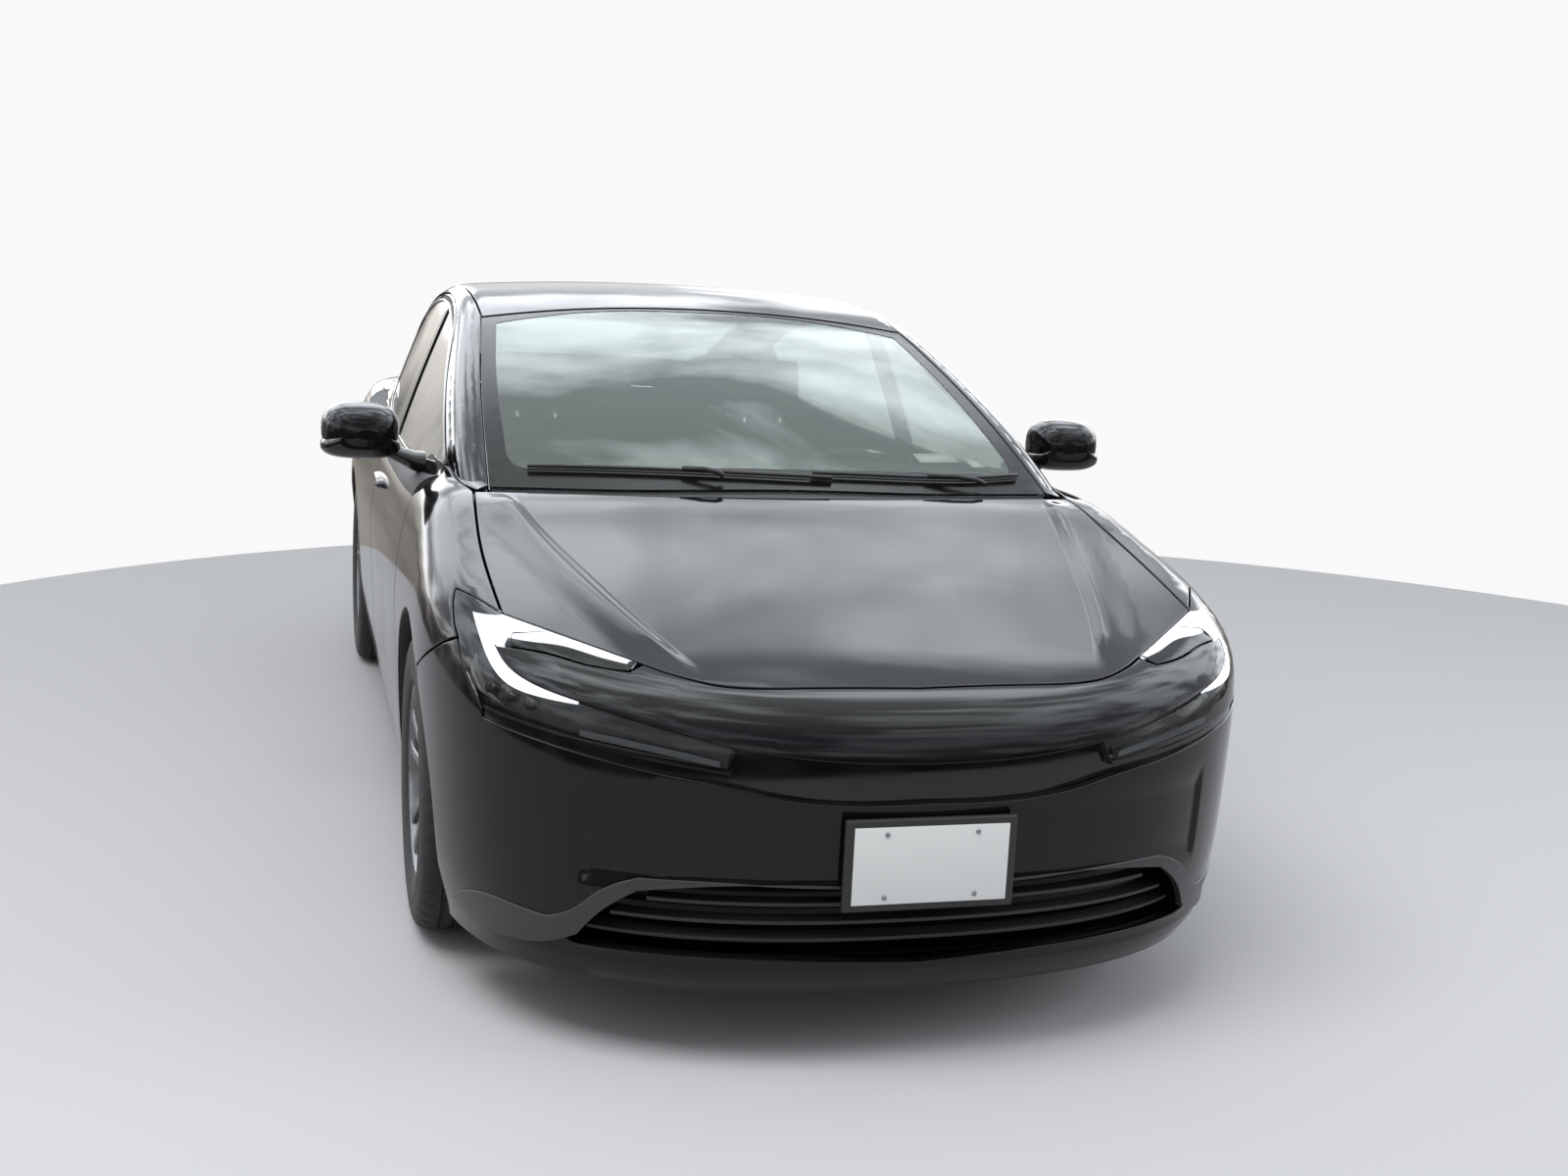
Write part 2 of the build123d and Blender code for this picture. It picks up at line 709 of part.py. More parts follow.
# ---------------------------------------------------------------- floor and structure
with BuildPart() as floor_pan:
    add(under_door & slab(floor_z, floor_z + floor_depth, 1000, 3960, width))
    add(under_nose & slab(floor_z, floor_z + tray_depth, 0, 1000, width))
    add(under_tail & slab(floor_z, floor_z + tray_depth, 3960, 4700, width))
    for well in (front_well, rear_well):
        add(well, mode=Mode.SUBTRACT)
        add(mirror(well, about=Plane.YZ), mode=Mode.SUBTRACT)
    arm_gap = left_box(325, well_inner + 1, 835, 1140, 0, height)
    add(arm_gap, mode=Mode.SUBTRACT)
    add(mirror(arm_gap, about=Plane.YZ), mode=Mode.SUBTRACT)
    add(slab(floor_z, up(866), BULKHEAD, BULKHEAD + wall_depth, across(695)))
    add(slab(floor_z, floor_z + seat_step, 2850, 2850 + wall_depth, across(640)))
    add(slab(floor_z + seat_step - wall_depth, floor_z + seat_step, 2850, 3560, across(466)))
    add(slab(floor_z + seat_step - wall_depth, floor_z + boot_step, 3560 - wall_depth, 3560, across(466)))
    add(slab(floor_z + boot_step - wall_depth, floor_z + boot_step, 3544, 4440, across(466)))
    add(slab(floor_z, floor_z + boot_step, 4424, 4440, across(440)))
print("floor", [round(x.volume / 1e3) for x in floor_pan.part.solids()])
keep(floor_pan.part, "floor_pan")

# ---------------------------------------------------------------- wheel liners
liner_depth = 6.0
disc_depth = 24.0
hub_back = track / 2 - 5 - disc_depth - 5
carrier_depth = 62.0
carrier_radius = 46.0
ball_joint = (track / 2 - 62, front_axle_y, tyre_radius - 135)
strut_top = (track / 2 - 220, front_axle_y, tyre_radius + 525)
strut_radius = 25.0
spring_radius = 58.0


def between(start, end, share):
    return tuple(a + (b - a) * share for a, b in zip(start, end))


def rod(start, end, radius):
    """A round bar between two points."""
    way = Vector(*end) - Vector(*start)
    with BuildPart() as bar:
        with BuildSketch(Plane(origin=start, z_dir=way)):
            Circle(radius)
        extrude(amount=way.length)
    return bar.part


def liner(axle_y, radius, shell):
    """A half-round wheel well lining that ends at the panel's inner face."""
    with BuildPart() as lining:
        with BuildSketch(Plane.YZ.offset(well_inner)):
            with Locations((axle_y, tyre_radius)):
                Circle(radius)
        extrude(amount=width)
        with BuildSketch(Plane.YZ.offset(well_inner + liner_depth)):
            with Locations((axle_y, tyre_radius)):
                Circle(radius - liner_depth)
        extrude(amount=width, mode=Mode.SUBTRACT)
        add(shell, mode=Mode.INTERSECT)
        split(bisect_by=Plane.XY.offset(floor_z), keep=Keep.TOP)
    return lining.part


axle_middle = (0, rear_axle_y, tyre_radius)
front_lining = liner(front_axle_y, front_arch, under_nose) - rod(ball_joint, between(ball_joint,
        strut_top, 2), spring_radius + 8)
front_lining -= left_box(well_inner - 5, well_inner + 12, 860, 1080, 0, floor_z + 60)
rear_lining = liner(rear_axle_y, rear_arch, under_tail) - rod(axle_middle, (track / 2, rear_axle_y,
        tyre_radius), 32)
keep(Compound([*both_sides(front_lining).solids(), *both_sides(rear_lining).solids()]), "wheel_liners")

# ---------------------------------------------------------------- wheels
hub_radius = 62.0
disc_radius = 138.0
spoke_pairs = 5
spoke_spread = 13.0
spoke_depth = 26.0
rim_wall = 7.0
face_x = rim_width / 2 - 4


def wheel_origin(axle_y):
    return (track / 2, axle_y, tyre_radius)


def make_tyre(axle_y):
    half = tyre_width / 2
    place = Plane(origin=wheel_origin(axle_y), x_dir=(1, 0, 0), z_dir=(0, -1, 0))
    bead = rim_width / 2 + 5
    with BuildPart() as tyre:
        with BuildSketch(place):
            with BuildLine():
                Polyline(
                    (-bead, rim_radius),
                    (-half, (rim_radius + tyre_radius) / 2 - 10),
                    (-half + 8, tyre_radius - 15),
                    (-half + 38, tyre_radius),
                    (half - 38, tyre_radius),
                    (half - 8, tyre_radius - 15),
                    (half, (rim_radius + tyre_radius) / 2 - 10),
                    (bead, rim_radius),
                    close=True,
                )
            make_face()
        revolve(axis=Axis(wheel_origin(axle_y), (1, 0, 0)))
    return tyre.part


def make_wheel(axle_y):
    """Rim barrel, paired spokes, hub and brake disc, turning together."""
    half = rim_width / 2
    place = Plane(origin=wheel_origin(axle_y), x_dir=(1, 0, 0), z_dir=(0, -1, 0))
    spin = Axis(wheel_origin(axle_y), (1, 0, 0))
    well = rim_radius - rim_wall - 14
    with BuildPart() as wheel:
        with BuildSketch(place):
            with BuildLine():
                Polyline(
                    (-half, rim_radius),
                    (half, rim_radius),
                    (half, rim_radius - rim_wall),
                    (half - 18, well),
                    (-half + 18, well),
                    (-half, rim_radius - rim_wall),
                    close=True,
                )
            make_face()
            with BuildLine():
                Polyline(
                    (face_x - 14, 0),
                    (face_x - 14, hub_radius - 18),
                    (face_x - 30, hub_radius),
                    (-5, hub_radius + 12),
                    (-5, disc_radius),
                    (-5 - disc_depth, disc_radius),
                    (-5 - disc_depth, hub_radius + 4),
                    (-5 - disc_depth, 0),
                    close=True,
                )
            make_face()
        revolve(axis=spin)
        spoke_plane = Plane(
            origin=(track / 2 + face_x - spoke_depth, axle_y, tyre_radius), x_dir=(0, 1, 0), z_dir=(1, 0, 0)
        )
        with BuildSketch(spoke_plane):
            for lean in (-spoke_spread, spoke_spread):
                with PolarLocations(0, spoke_pairs, start_angle=90 + lean):
                    Polygon((20, -17), (well + 4, -11), (well + 4, 11), (20, 17), align=None)
        extrude(amount=spoke_depth)
    return wheel.part


def make_caliper(axle_y, start):
    """A brake caliper astride the disc, as part of a turn about the hub."""
    place = Plane(origin=wheel_origin(axle_y), x_dir=(1, 0, 0), z_dir=(0, -1, 0))
    gap = 5.0
    with BuildPart() as caliper:
        with BuildSketch(place):
            with BuildLine():
                Polyline(
                    (-5 - disc_depth - gap - 30, disc_radius - 34),
                    (-5 - disc_depth - gap, disc_radius - 34),
                    (-5 - disc_depth - gap, disc_radius + gap),
                    (-5 + gap, disc_radius + gap),
                    (-5 + gap, disc_radius - 34),
                    (-5 + gap + 22, disc_radius - 34),
                    (-5 + gap + 22, disc_radius + gap + 15),
                    (-5 - disc_depth - gap - 30, disc_radius + gap + 15),
                    close=True,
                )
            make_face()
        revolve(axis=Axis(wheel_origin(axle_y), (1, 0, 0)), revolution_arc=52)
    return caliper.part.rotate(Axis(wheel_origin(axle_y), (1, 0, 0)), start)


for end, axle_y in (("front", front_axle_y), ("rear", rear_axle_y)):
    tyre = make_tyre(axle_y)
    wheel = make_wheel(axle_y)
    keep(tyre, "tyre_" + end + "_left")
    keep(mirror(tyre, about=Plane.YZ), "tyre_" + end + "_right")
    keep(wheel, "wheel_" + end + "_left")
    keep(mirror(wheel, about=Plane.YZ), "wheel_" + end + "_right")

# ---------------------------------------------------------------- front knuckles and struts
with BuildPart() as knuckle:
    add(rod((hub_back - carrier_depth, front_axle_y, tyre_radius), (hub_back, front_axle_y,
            tyre_radius), carrier_radius))
    add(rod((hub_back - 4, front_axle_y, tyre_radius), (hub_back + 4, front_axle_y, tyre_radius), 30))
    add(rod(ball_joint, between(ball_joint, strut_top, 0.24), 24))
    add(rod(between(ball_joint, strut_top, 0.2), between(ball_joint, strut_top, 0.97), strut_radius))
    add(rod(between(ball_joint, strut_top, 0.73), between(ball_joint, strut_top, 0.97), spring_radius))
    add(make_caliper(front_axle_y, -116))
    add(rod((hub_back - 22, front_axle_y, tyre_radius), (hub_back - 22, front_axle_y + 122,
            tyre_radius), 20))
print("knuckle", [round(x.volume / 1e3) for x in knuckle.part.solids()])
keep(knuckle.part, "knuckle_left")
keep(mirror(knuckle.part, about=Plane.YZ), "knuckle_right")

# ---------------------------------------------------------------- front subframe, rear axle, engine
with BuildPart() as front_subframe:
    add(slab(floor_top, cradle_top, CRADLE_FRONT, CRADLE_REAR, 330))
    for sign in (-1, 1):
        for station in (-80, 150):
            inner_end = (sign * 320, front_axle_y + station, floor_top + 20)
            outer_end = (sign * (ball_joint[0] - 40), front_axle_y, ball_joint[2] - 2)
            add(rod(inner_end, outer_end, 17))
print("subframe", [round(x.volume / 1e3) for x in front_subframe.part.solids()])
keep(front_subframe.part, "front_subframe")

rear_post = (track / 2 - 230, rear_axle_y - 30, floor_z + tray_depth)
with BuildPart() as rear_axle:
    add(rod((-hub_back + 8, rear_axle_y, tyre_radius), (hub_back - 8, rear_axle_y, tyre_radius), 26))
    for sign in (-1, 1):
        add(rod((sign * (hub_back - carrier_depth), rear_axle_y, tyre_radius), (sign * hub_back,
                rear_axle_y, tyre_radius), carrier_radius))
        add(rod((sign * (hub_back - 4), rear_axle_y, tyre_radius), (sign * (hub_back + 4), rear_axle_y,
                tyre_radius), 30))
        add(rod((sign * 430, rear_axle_y, tyre_radius), (sign * 430, rear_axle_y - 330,
                tyre_radius - 40), 24))
        add(rod((sign * 400, rear_axle_y, tyre_radius), (sign * 400, rear_axle_y,
                floor_z + boot_step - wall_depth), 50))
    caliper = make_caliper(rear_axle_y, -116)
    add(caliper)
    add(mirror(caliper, about=Plane.YZ))
    for sign in (-1, 1):
        add(rod((sign * (hub_back - 22), rear_axle_y, tyre_radius), (sign * (hub_back - 22),
                rear_axle_y + 122, tyre_radius), 18))
print("rear axle", [round(x.volume / 1e3) for x in rear_axle.part.solids()])
keep(rear_axle.part, "rear_axle")

engine_size = (640.0, 520.0, 400.0)
with BuildPart() as engine:
    with BuildSketch(Plane.XY.offset(cradle_top)):
        with Locations((0, along(860))):
            RectangleRounded(engine_size[0], engine_size[1], 40)
    extrude(amount=engine_size[2])
    chamfer(engine.edges().group_by(Axis.Z)[-1], 30)
keep(engine.part, "engine")

with BuildPart() as battery:
    add(slab(floor_z + floor_depth, floor_z + seat_step - wall_depth - 2, 2880, 3290, 440))
keep(battery.part, "hybrid_battery")

pipe_radius = 22.0
with BuildPart() as exhaust:
    pipe_z = floor_z - pipe_radius
    add(rod((-120, along(1060), pipe_z), (-120, along(3960), pipe_z), pipe_radius))
    with BuildSketch(Plane.XZ.offset(-along(3955))):
        with Locations((-240, floor_z - 30)):
            RectangleRounded(330, 58, 28)
    extrude(amount=-240)
print("exhaust", [round(x.volume / 1e3) for x in exhaust.part.solids()])
keep(exhaust.part, "exhaust")

# ---------------------------------------------------------------- cabin
seat_x = 370.0
seat_width = 500.0


def profile_block(points, x_middle, wide, rounding):
    """A rounded block with a side-view outline of (station, height above the ground)."""
    with BuildPart() as block:
        with BuildSketch(Plane.YZ.offset(x_middle - wide / 2)) as outline:
            with BuildLine():
                Polyline(*[(along(s), z) for s, z in points], close=True)
            make_face()
            fillet(outline.vertices(), rounding)
        extrude(amount=wide)
        fillet(block.faces().sort_by(Axis.X)[0].edges(), rounding * 0.6)
        fillet(block.faces().sort_by(Axis.X)[-1].edges(), rounding * 0.6)
    return block.part


def raised(points):
    """Stations with heights counted up from the floor, as heights above the ground."""
    return [(s, floor_top + h) for s, h in points]


def front_seat(x_middle):
    """A cushion, a reclined back and a headrest on its posts, on a rail box."""
    with BuildPart() as seat:
        add(profile_block(raised([(1950, 120), (2440, 90), (2440, 210), (1950, 260)]), x_middle,
                seat_width, 40))
        add(profile_block(raised([(2400, 190), (2510, 150), (2700, 760), (2600, 790)]), x_middle,
                seat_width, 40))
        add(profile_block(raised([(2655, 800), (2745, 800), (2765, 960), (2690, 970)]), x_middle, 250, 32))
        for side in (-60, 60):
            add(rod((x_middle + side, along(2655), floor_top + 740), (x_middle + side, along(2705),
                    floor_top + 850), 6))
        for side in (-190, 190):
            add(left_box(x_middle + side - 20, x_middle + side + 20, 2000, 2420, floor_top,
                    floor_top + 130))
    return seat.part


with BuildPart() as rear_seat:
    seat_base = floor_z + seat_step
    add(profile_block([(2860, seat_base), (3420, seat_base), (3420, seat_base + 90), (2860,
            seat_base + 130)], 0, 920, 36))
    add(profile_block([(3370, seat_base + 60), (3480, seat_base + 60), (3640, 985), (3550, 1000)], 0,
            930, 40))
    for x_middle in (-320, 0, 320):
        add(profile_block([(3580, 975), (3650, 970), (3675, 1075), (3610, 1085)], x_middle, 240, 26))
keep(both_sides(front_seat(seat_x)), "front_seats")
print("rear seat", [round(x.volume / 1e3) for x in rear_seat.part.solids()])
keep(rear_seat.part, "rear_seat")

wheel_centre = (seat_x, along(1840), 835.0)
column_way = (0, -0.9, -0.42)
steering_radius = 182.0
with BuildPart() as dashboard:
    add(profile_block([(1360, 870), (1360, 560), (1480, 560), (1620, 700), (1650, 850), (1560, 905),
            (1400, 925)], 0, 1400, 24))
    add(profile_block([(1400, 650), (1400, floor_top), (2480, floor_top), (2480, 470), (1750, 520),
            (1600, 650)], 0, 210, 24))
    add(rod(between(wheel_centre, tuple(c + w for c, w in zip(wheel_centre, column_way)), 50),
            between(wheel_centre, tuple(c + w for c, w in zip(wheel_centre, column_way)), 230), 38))
print("dashboard", [round(x.volume / 1e3) for x in dashboard.part.solids()])
keep(dashboard.part, "dashboard")

with BuildPart() as steering_wheel:
    wheel_plane = Plane(origin=wheel_centre, x_dir=(1, 0, 0), z_dir=column_way)
    with BuildSketch(Plane(origin=wheel_centre, x_dir=(1, 0, 0), z_dir=wheel_plane.y_dir)):
        with Locations((steering_radius, 0)):
            Circle(14)
    revolve(axis=Axis(wheel_centre, column_way))
    with BuildSketch(wheel_plane.offset(-4)):
        Circle(52)
        Rectangle(2 * steering_radius, 30)
        with Locations((0, -steering_radius / 2)):
            Rectangle(34, steering_radius)
    extrude(amount=24)
print("steering wheel", [round(x.volume / 1e3) for x in steering_wheel.part.solids()])
keep(steering_wheel.part, "steering_wheel")

# ---------------------------------------------------------------- mirrors, wipers, grille
mirror_inner = across(866)
mirror_outer = across(1037)
mirror_level = up(1057)
mirror_height = 142.0
mirror_front = 1556.0
mirror_rear = 1676.0
with BuildPart() as door_mirror:
    for station, share in ((mirror_front, 0.35), (mirror_front + 22, 0.72), (mirror_front + 60, 0.94),
            (mirror_rear, 1.0)):
        middle = (mirror_outer + mirror_inner) / 2
        with BuildSketch(Plane.XZ.offset(-along(station))):
            with Locations((middle, mirror_level)):
                RectangleRounded((mirror_outer - mirror_inner) * share, mirror_height * share, 55 * share)
    loft()
    with BuildSketch(Plane.XY.offset(up(950))):
        with Locations((mirror_inner - 10, along(1620))):
            RectangleRounded(70, 60, 20)
    with BuildSketch(Plane.XY.offset(mirror_level - 40)):
        with Locations((mirror_inner + 30, along(1630))):
            RectangleRounded(80, 60, 20)
    loft()
    add(outer, mode=Mode.SUBTRACT)
print("mirror", [round(x.volume / 1e3) for x in door_mirror.part.solids()])
keep(door_mirror.part, "mirror_left")
keep(mirror(door_mirror.part, about=Plane.YZ), "mirror_right")

with BuildPart() as lower_grille:
    with BuildPart(mode=Mode.PRIVATE) as bars:
        for level in (262, 298, 334):
            add(slab(up(level), up(level) + 8, 30, 400, width / 2))
        for x in (-300, 0, 300):
            add(left_box(x - 4, x + 4, 30, 400, up(222), up(372)))
    add(front_shell & front_block(intake_outline, -60, 600) & bars.part)
print("grille", [round(x.volume / 1e3) for x in lower_grille.part.solids()])
keep(lower_grille.part, "lower_grille")

wiper_left = [[(-610, 1190), (-200, 1110), (120, 1092)], [(120, 1092), (120, 1080)], [(120, 1080),
        (-200, 1098), (-610, 1178)]]
wiper_right = [[(60, 1130), (360, 1100), (640, 1170)], [(640, 1170), (640, 1158)], [(640, 1158), (360,
        1088), (60, 1118)]]
with BuildPart() as wipers:
    for blade in (wiper_left, wiper_right):
        add((greenhouse(-12) & plan_block(blade, 900, 1300)) - top)
print("wipers", [round(x.volume / 1e3) for x in wipers.part.solids()])
keep(wipers.part, "wipers")
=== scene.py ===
import bpy, bmesh, math
import numpy as np
from mathutils import Vector, Matrix
from mathutils.geometry import delaunay_2d_cdt


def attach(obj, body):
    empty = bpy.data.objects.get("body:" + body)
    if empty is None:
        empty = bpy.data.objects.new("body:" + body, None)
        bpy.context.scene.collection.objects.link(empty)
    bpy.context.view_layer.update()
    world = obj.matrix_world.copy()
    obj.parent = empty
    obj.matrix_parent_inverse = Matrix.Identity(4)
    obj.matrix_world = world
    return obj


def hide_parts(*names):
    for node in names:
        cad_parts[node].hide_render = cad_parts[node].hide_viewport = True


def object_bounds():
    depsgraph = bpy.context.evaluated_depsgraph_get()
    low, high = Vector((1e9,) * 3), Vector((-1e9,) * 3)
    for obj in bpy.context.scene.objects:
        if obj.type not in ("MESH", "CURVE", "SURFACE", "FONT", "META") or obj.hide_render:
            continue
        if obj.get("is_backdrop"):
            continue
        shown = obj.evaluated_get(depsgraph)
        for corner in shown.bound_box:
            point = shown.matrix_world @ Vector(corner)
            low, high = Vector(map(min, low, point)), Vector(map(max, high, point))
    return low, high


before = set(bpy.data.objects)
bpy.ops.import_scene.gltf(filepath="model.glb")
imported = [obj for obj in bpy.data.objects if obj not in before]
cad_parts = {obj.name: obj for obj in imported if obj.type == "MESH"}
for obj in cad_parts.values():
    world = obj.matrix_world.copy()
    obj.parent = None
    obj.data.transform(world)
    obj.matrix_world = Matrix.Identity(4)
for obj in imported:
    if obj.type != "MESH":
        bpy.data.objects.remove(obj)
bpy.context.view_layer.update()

# ---------------- driving dimensions
# Millimetres: x to the left from the middle, s (the station) back from the nose, z up from the ground.
MM = 0.001
HALF_LENGTH = 2300.0
NOSE_START, TAIL_START = 900.0, 3750.0  # where the round nose ends and the round tail begins
NOSE_ROUND, TAIL_ROUND = 900.0, 850.0  # radii by which the flat views of nose and tail are unrolled
SHOULDER, RAIL, BELT_BLEND, HATCH_LIP = 70.0, 60.0, 12.0, 9.0  # roundings of the body's long edges
DECK_HALF, CREST_HALF = 850.0, 700.0  # half widths at which deck and roof have dropped by their full amount
FRAME_X = 672.0  # half width at which the door frames' upper edges run
HATCH_END, GLASS_FOOT = 4500.0, 860.0  # ends of the upper body
FRONT_CUT, SEAM, DOOR_END, ROOF_END, FRAME_END = 1370.0, 2480.0, 3268.0, 3345.0, 3745.0
SKIRT, DOOR_SILL = 150.0, 235.0
FRONT_AXLE, REAR_AXLE, AXLE_LEVEL, WHEEL_X = 950.0, 3700.0, 333.0, 780.0
FRONT_ARCH, REAR_ARCH = 385.0, 377.0
PANE_COVER = 28.0  # how far a door's glass stays under its frame's upper edge
GLASS_IN = 9.0  # depth of the glass's inner face
CREASE = 8.0  # height of the hood's creases
PLATE_FRAME_WIDE, PLATE_WIDE, PLATE_HIGH = 336, 304, 148
FRONT_PLATE, REAR_PLATE = 428.0, 770.0  # levels
PLATE_SCREW = (89.0, 60.5)  # half of the screw pitch


# ---------------- body lines
def smooth_line(points):
    """A natural cubic spline through the points, straight beyond its ends; works on arrays."""
    x, y = np.array(points, float).T
    n = len(x)
    h = np.diff(x)
    matrix = np.eye(n)
    right = np.zeros(n)
    for i in range(1, n - 1):
        matrix[i, i - 1 : i + 2] = h[i - 1], 2 * (h[i - 1] + h[i]), h[i]
        right[i] = 6 * ((y[i + 1] - y[i]) / h[i] - (y[i] - y[i - 1]) / h[i - 1])
    bend = np.linalg.solve(matrix, right)
    slope_in = (y[1] - y[0]) / h[0] - h[0] * bend[1] / 6
    slope_out = (y[-1] - y[-2]) / h[-1] + h[-1] * bend[-2] / 6

    def line(at):
        at = np.asarray(at, float)
        i = np.clip(np.searchsorted(x, at) - 1, 0, n - 2)
        a, b, k = x[i + 1] - at, at - x[i], h[i]
        value = (bend[i] * a**3 + bend[i + 1] * b**3) / (6 * k)
        value += (y[i] / k - bend[i] * k / 6) * a + (y[i + 1] / k - bend[i + 1] * k / 6) * b
        value = np.where(at < x[0], y[0] + slope_in * (at - x[0]), value)
        return np.where(at > x[-1], y[-1] + slope_out * (at - x[-1]), value)

    return line


flank = smooth_line(  # half width by level
    [(150, 838), (260, 864), (420, 880), (600, 889), (700, 890), (800, 881),
     (900, 858), (1000, 824), (1080, 792)]
)
nose = smooth_line(  # station of the front by level
    [(150, 70), (220, 34), (320, 8), (450, 0), (560, 0), (640, 4),
     (720, 22), (800, 68), (880, 130), (1000, 250)]
)
tail = smooth_line(  # station of the rear by level
    [(150, 4530), (250, 4575), (400, 4597), (600, 4600), (760, 4585), (900, 4545), (1000, 4500), (1080, 4450)]
)
deck = smooth_line(  # level of the hood and shoulders by station
    [(-100, 655), (0, 692), (130, 739), (300, 786), (600, 860), (900, 934),
     (1060, 974), (1200, 988), (1500, 978)]
    + [(2000, 966), (2500, 970), (3000, 985), (3600, 1012), (4200, 1030), (4450, 1015), (4600, 985)]
)
crest = smooth_line(  # level of windshield, roof and hatch in the middle
    [(800, 862), (1010, 962), (1300, 1090), (1600, 1203), (1900, 1302),
     (2100, 1360), (2300, 1400), (2550, 1425)]
    + [(2750, 1430), (3000, 1421), (3300, 1388), (3700, 1302), (4100, 1178), (4350, 1095), (4450, 1062)]
)
crest_drop = smooth_line([(900, 48), (1500, 44), (2100, 36), (2700, 34), (3300, 42), (4000, 50), (4450, 55)])
belt = smooth_line(  # half width of the cabin at its foot
    [(900, 690), (1100, 752), (1300, 786), (1600, 812), (2000, 824), (2500, 826), (3000, 816), (3500, 786)]
    + [(3900, 742), (4200, 700), (4450, 655)]
)


# ---------------- body shapes: below nought inside, above it outside
def smooth_meet(a, b, radius):
    """Inside both of two surfaces, their edge rounded."""
    inside = np.maximum(a, b)
    corner = np.hypot(np.maximum(a + radius, 0), np.maximum(b + radius, 0)) - radius
    return np.where((a > -radius) & (b > -radius), corner, inside)


def level_of(x, s, z, value):
    """Turn a shape value into a distance by its own slope."""
    d = 0.5
    base = value(x, s, z)
    gx = (value(x + d, s, z) - base) / d
    gs = (value(x, s + d, z) - base) / d
    gz = (value(x, s, z + d) - base) / d
    return base / np.maximum(np.sqrt(gx * gx + gs * gs + gz * gz), 1e-6)


def band_value(x, s, z):
    """The upright band of flanks, nose and tail."""
    u = np.maximum((NOSE_START - s) / (NOSE_START - nose(z)), 0)
    v = np.maximum((s - TAIL_START) / (tail(z) - TAIL_START), 0)
    part = np.abs(x) / flank(z)
    front = (part**2.4 + u**3.2) ** (1 / 2.8) - 1
    rear = (part**2.6 + v**3.0) ** (1 / 2.8) - 1
    return np.maximum(front, rear)


def lower_shape(x, s, z):
    """The body below the glass."""
    side = level_of(x, s, z, band_value)
    top = level_of(x, s, z, lambda x, s, z: z - deck(s) + 18 * (x / DECK_HALF) ** 2)
    return smooth_meet(side, top, SHOULDER)


def glass_value(x, s, z):
    """The leaning sides of the cabin."""
    rise = (z - 930) / 400
    return np.abs(x) - belt(s) + 128 * rise + 22 * rise * rise


def upper_shape(x, s, z):
    """The cabin with windshield, roof and hatch."""
    side = level_of(x, s, z, glass_value)
    top = level_of(x, s, z, lambda x, s, z: z - crest(s) + crest_drop(s) * (x / CREST_HALF) ** 2)
    ends = smooth_meet(smooth_meet(side, top, RAIL), s - HATCH_END, HATCH_LIP)
    return np.maximum(ends, GLASS_FOOT - z)


def body_shape(x, s, z):
    """The whole outer skin: both halves joined with a soft corner at the belt."""
    a = lower_shape(x, s, z)
    b = upper_shape(x, s, z)
    near = np.maximum(BELT_BLEND - np.abs(a - b), 0) / BELT_BLEND
    return np.minimum(a, b) - near * near * BELT_BLEND / 4


def over(shape, amount):
    """The same shape moved inwards by an amount."""
    return lambda x, s, z: shape(x, s, z) + amount


def soft_step(v, a, b):
    """From 0 at a to 1 at b, level at both ends."""
    u = np.clip((v - a) / (b - a), 0, 1)
    return u * u * (3 - 2 * u)


def slope(shape, p):
    """Unit outward direction of a shape at points."""
    parts = []
    for step in np.eye(3) * 0.4:
        ahead, behind = p + step, p - step
        parts.append(shape(*ahead.T) - shape(*behind.T))
    g = np.array(parts).T
    return g / np.maximum(np.linalg.norm(g, axis=1), 1e-9)[:, None]


def settle(shape, p, rounds):
    """Move points onto a shape by its own slope."""
    for _ in range(rounds):
        p = p - slope(shape, p) * shape(*p.T)[:, None]
    return p


# ---------------- flat views, and the rays that lead back to the body
ROOT2 = math.sqrt(2)
START_UP, START_SIDE, START_LEAN = 1600.0, 1150.0, 1900.0  # where the rays of each view set out
START_GATE, START_BACK, START_ROUND = 4700.0, 4850.0, 1500.0


def straight(way, start):
    """Parallel rays in one direction, each from its own start."""

    def rays(q):
        places = np.column_stack(np.broadcast_arrays(*start(q[:, 0], q[:, 1])))
        return places, np.tile(way, (len(q), 1))

    return rays


def round_about(station, radius, facing):
    """Level rays towards the upright line at a station; the flat view is unrolled at a radius."""

    def rays(q):
        a = q[:, 0] / radius
        out = np.column_stack([np.sin(a), facing * np.cos(a), np.zeros(len(q))])
        return np.column_stack([START_ROUND * out[:, 0], station + START_ROUND * out[:, 1], q[:, 1]]), -out

    return rays


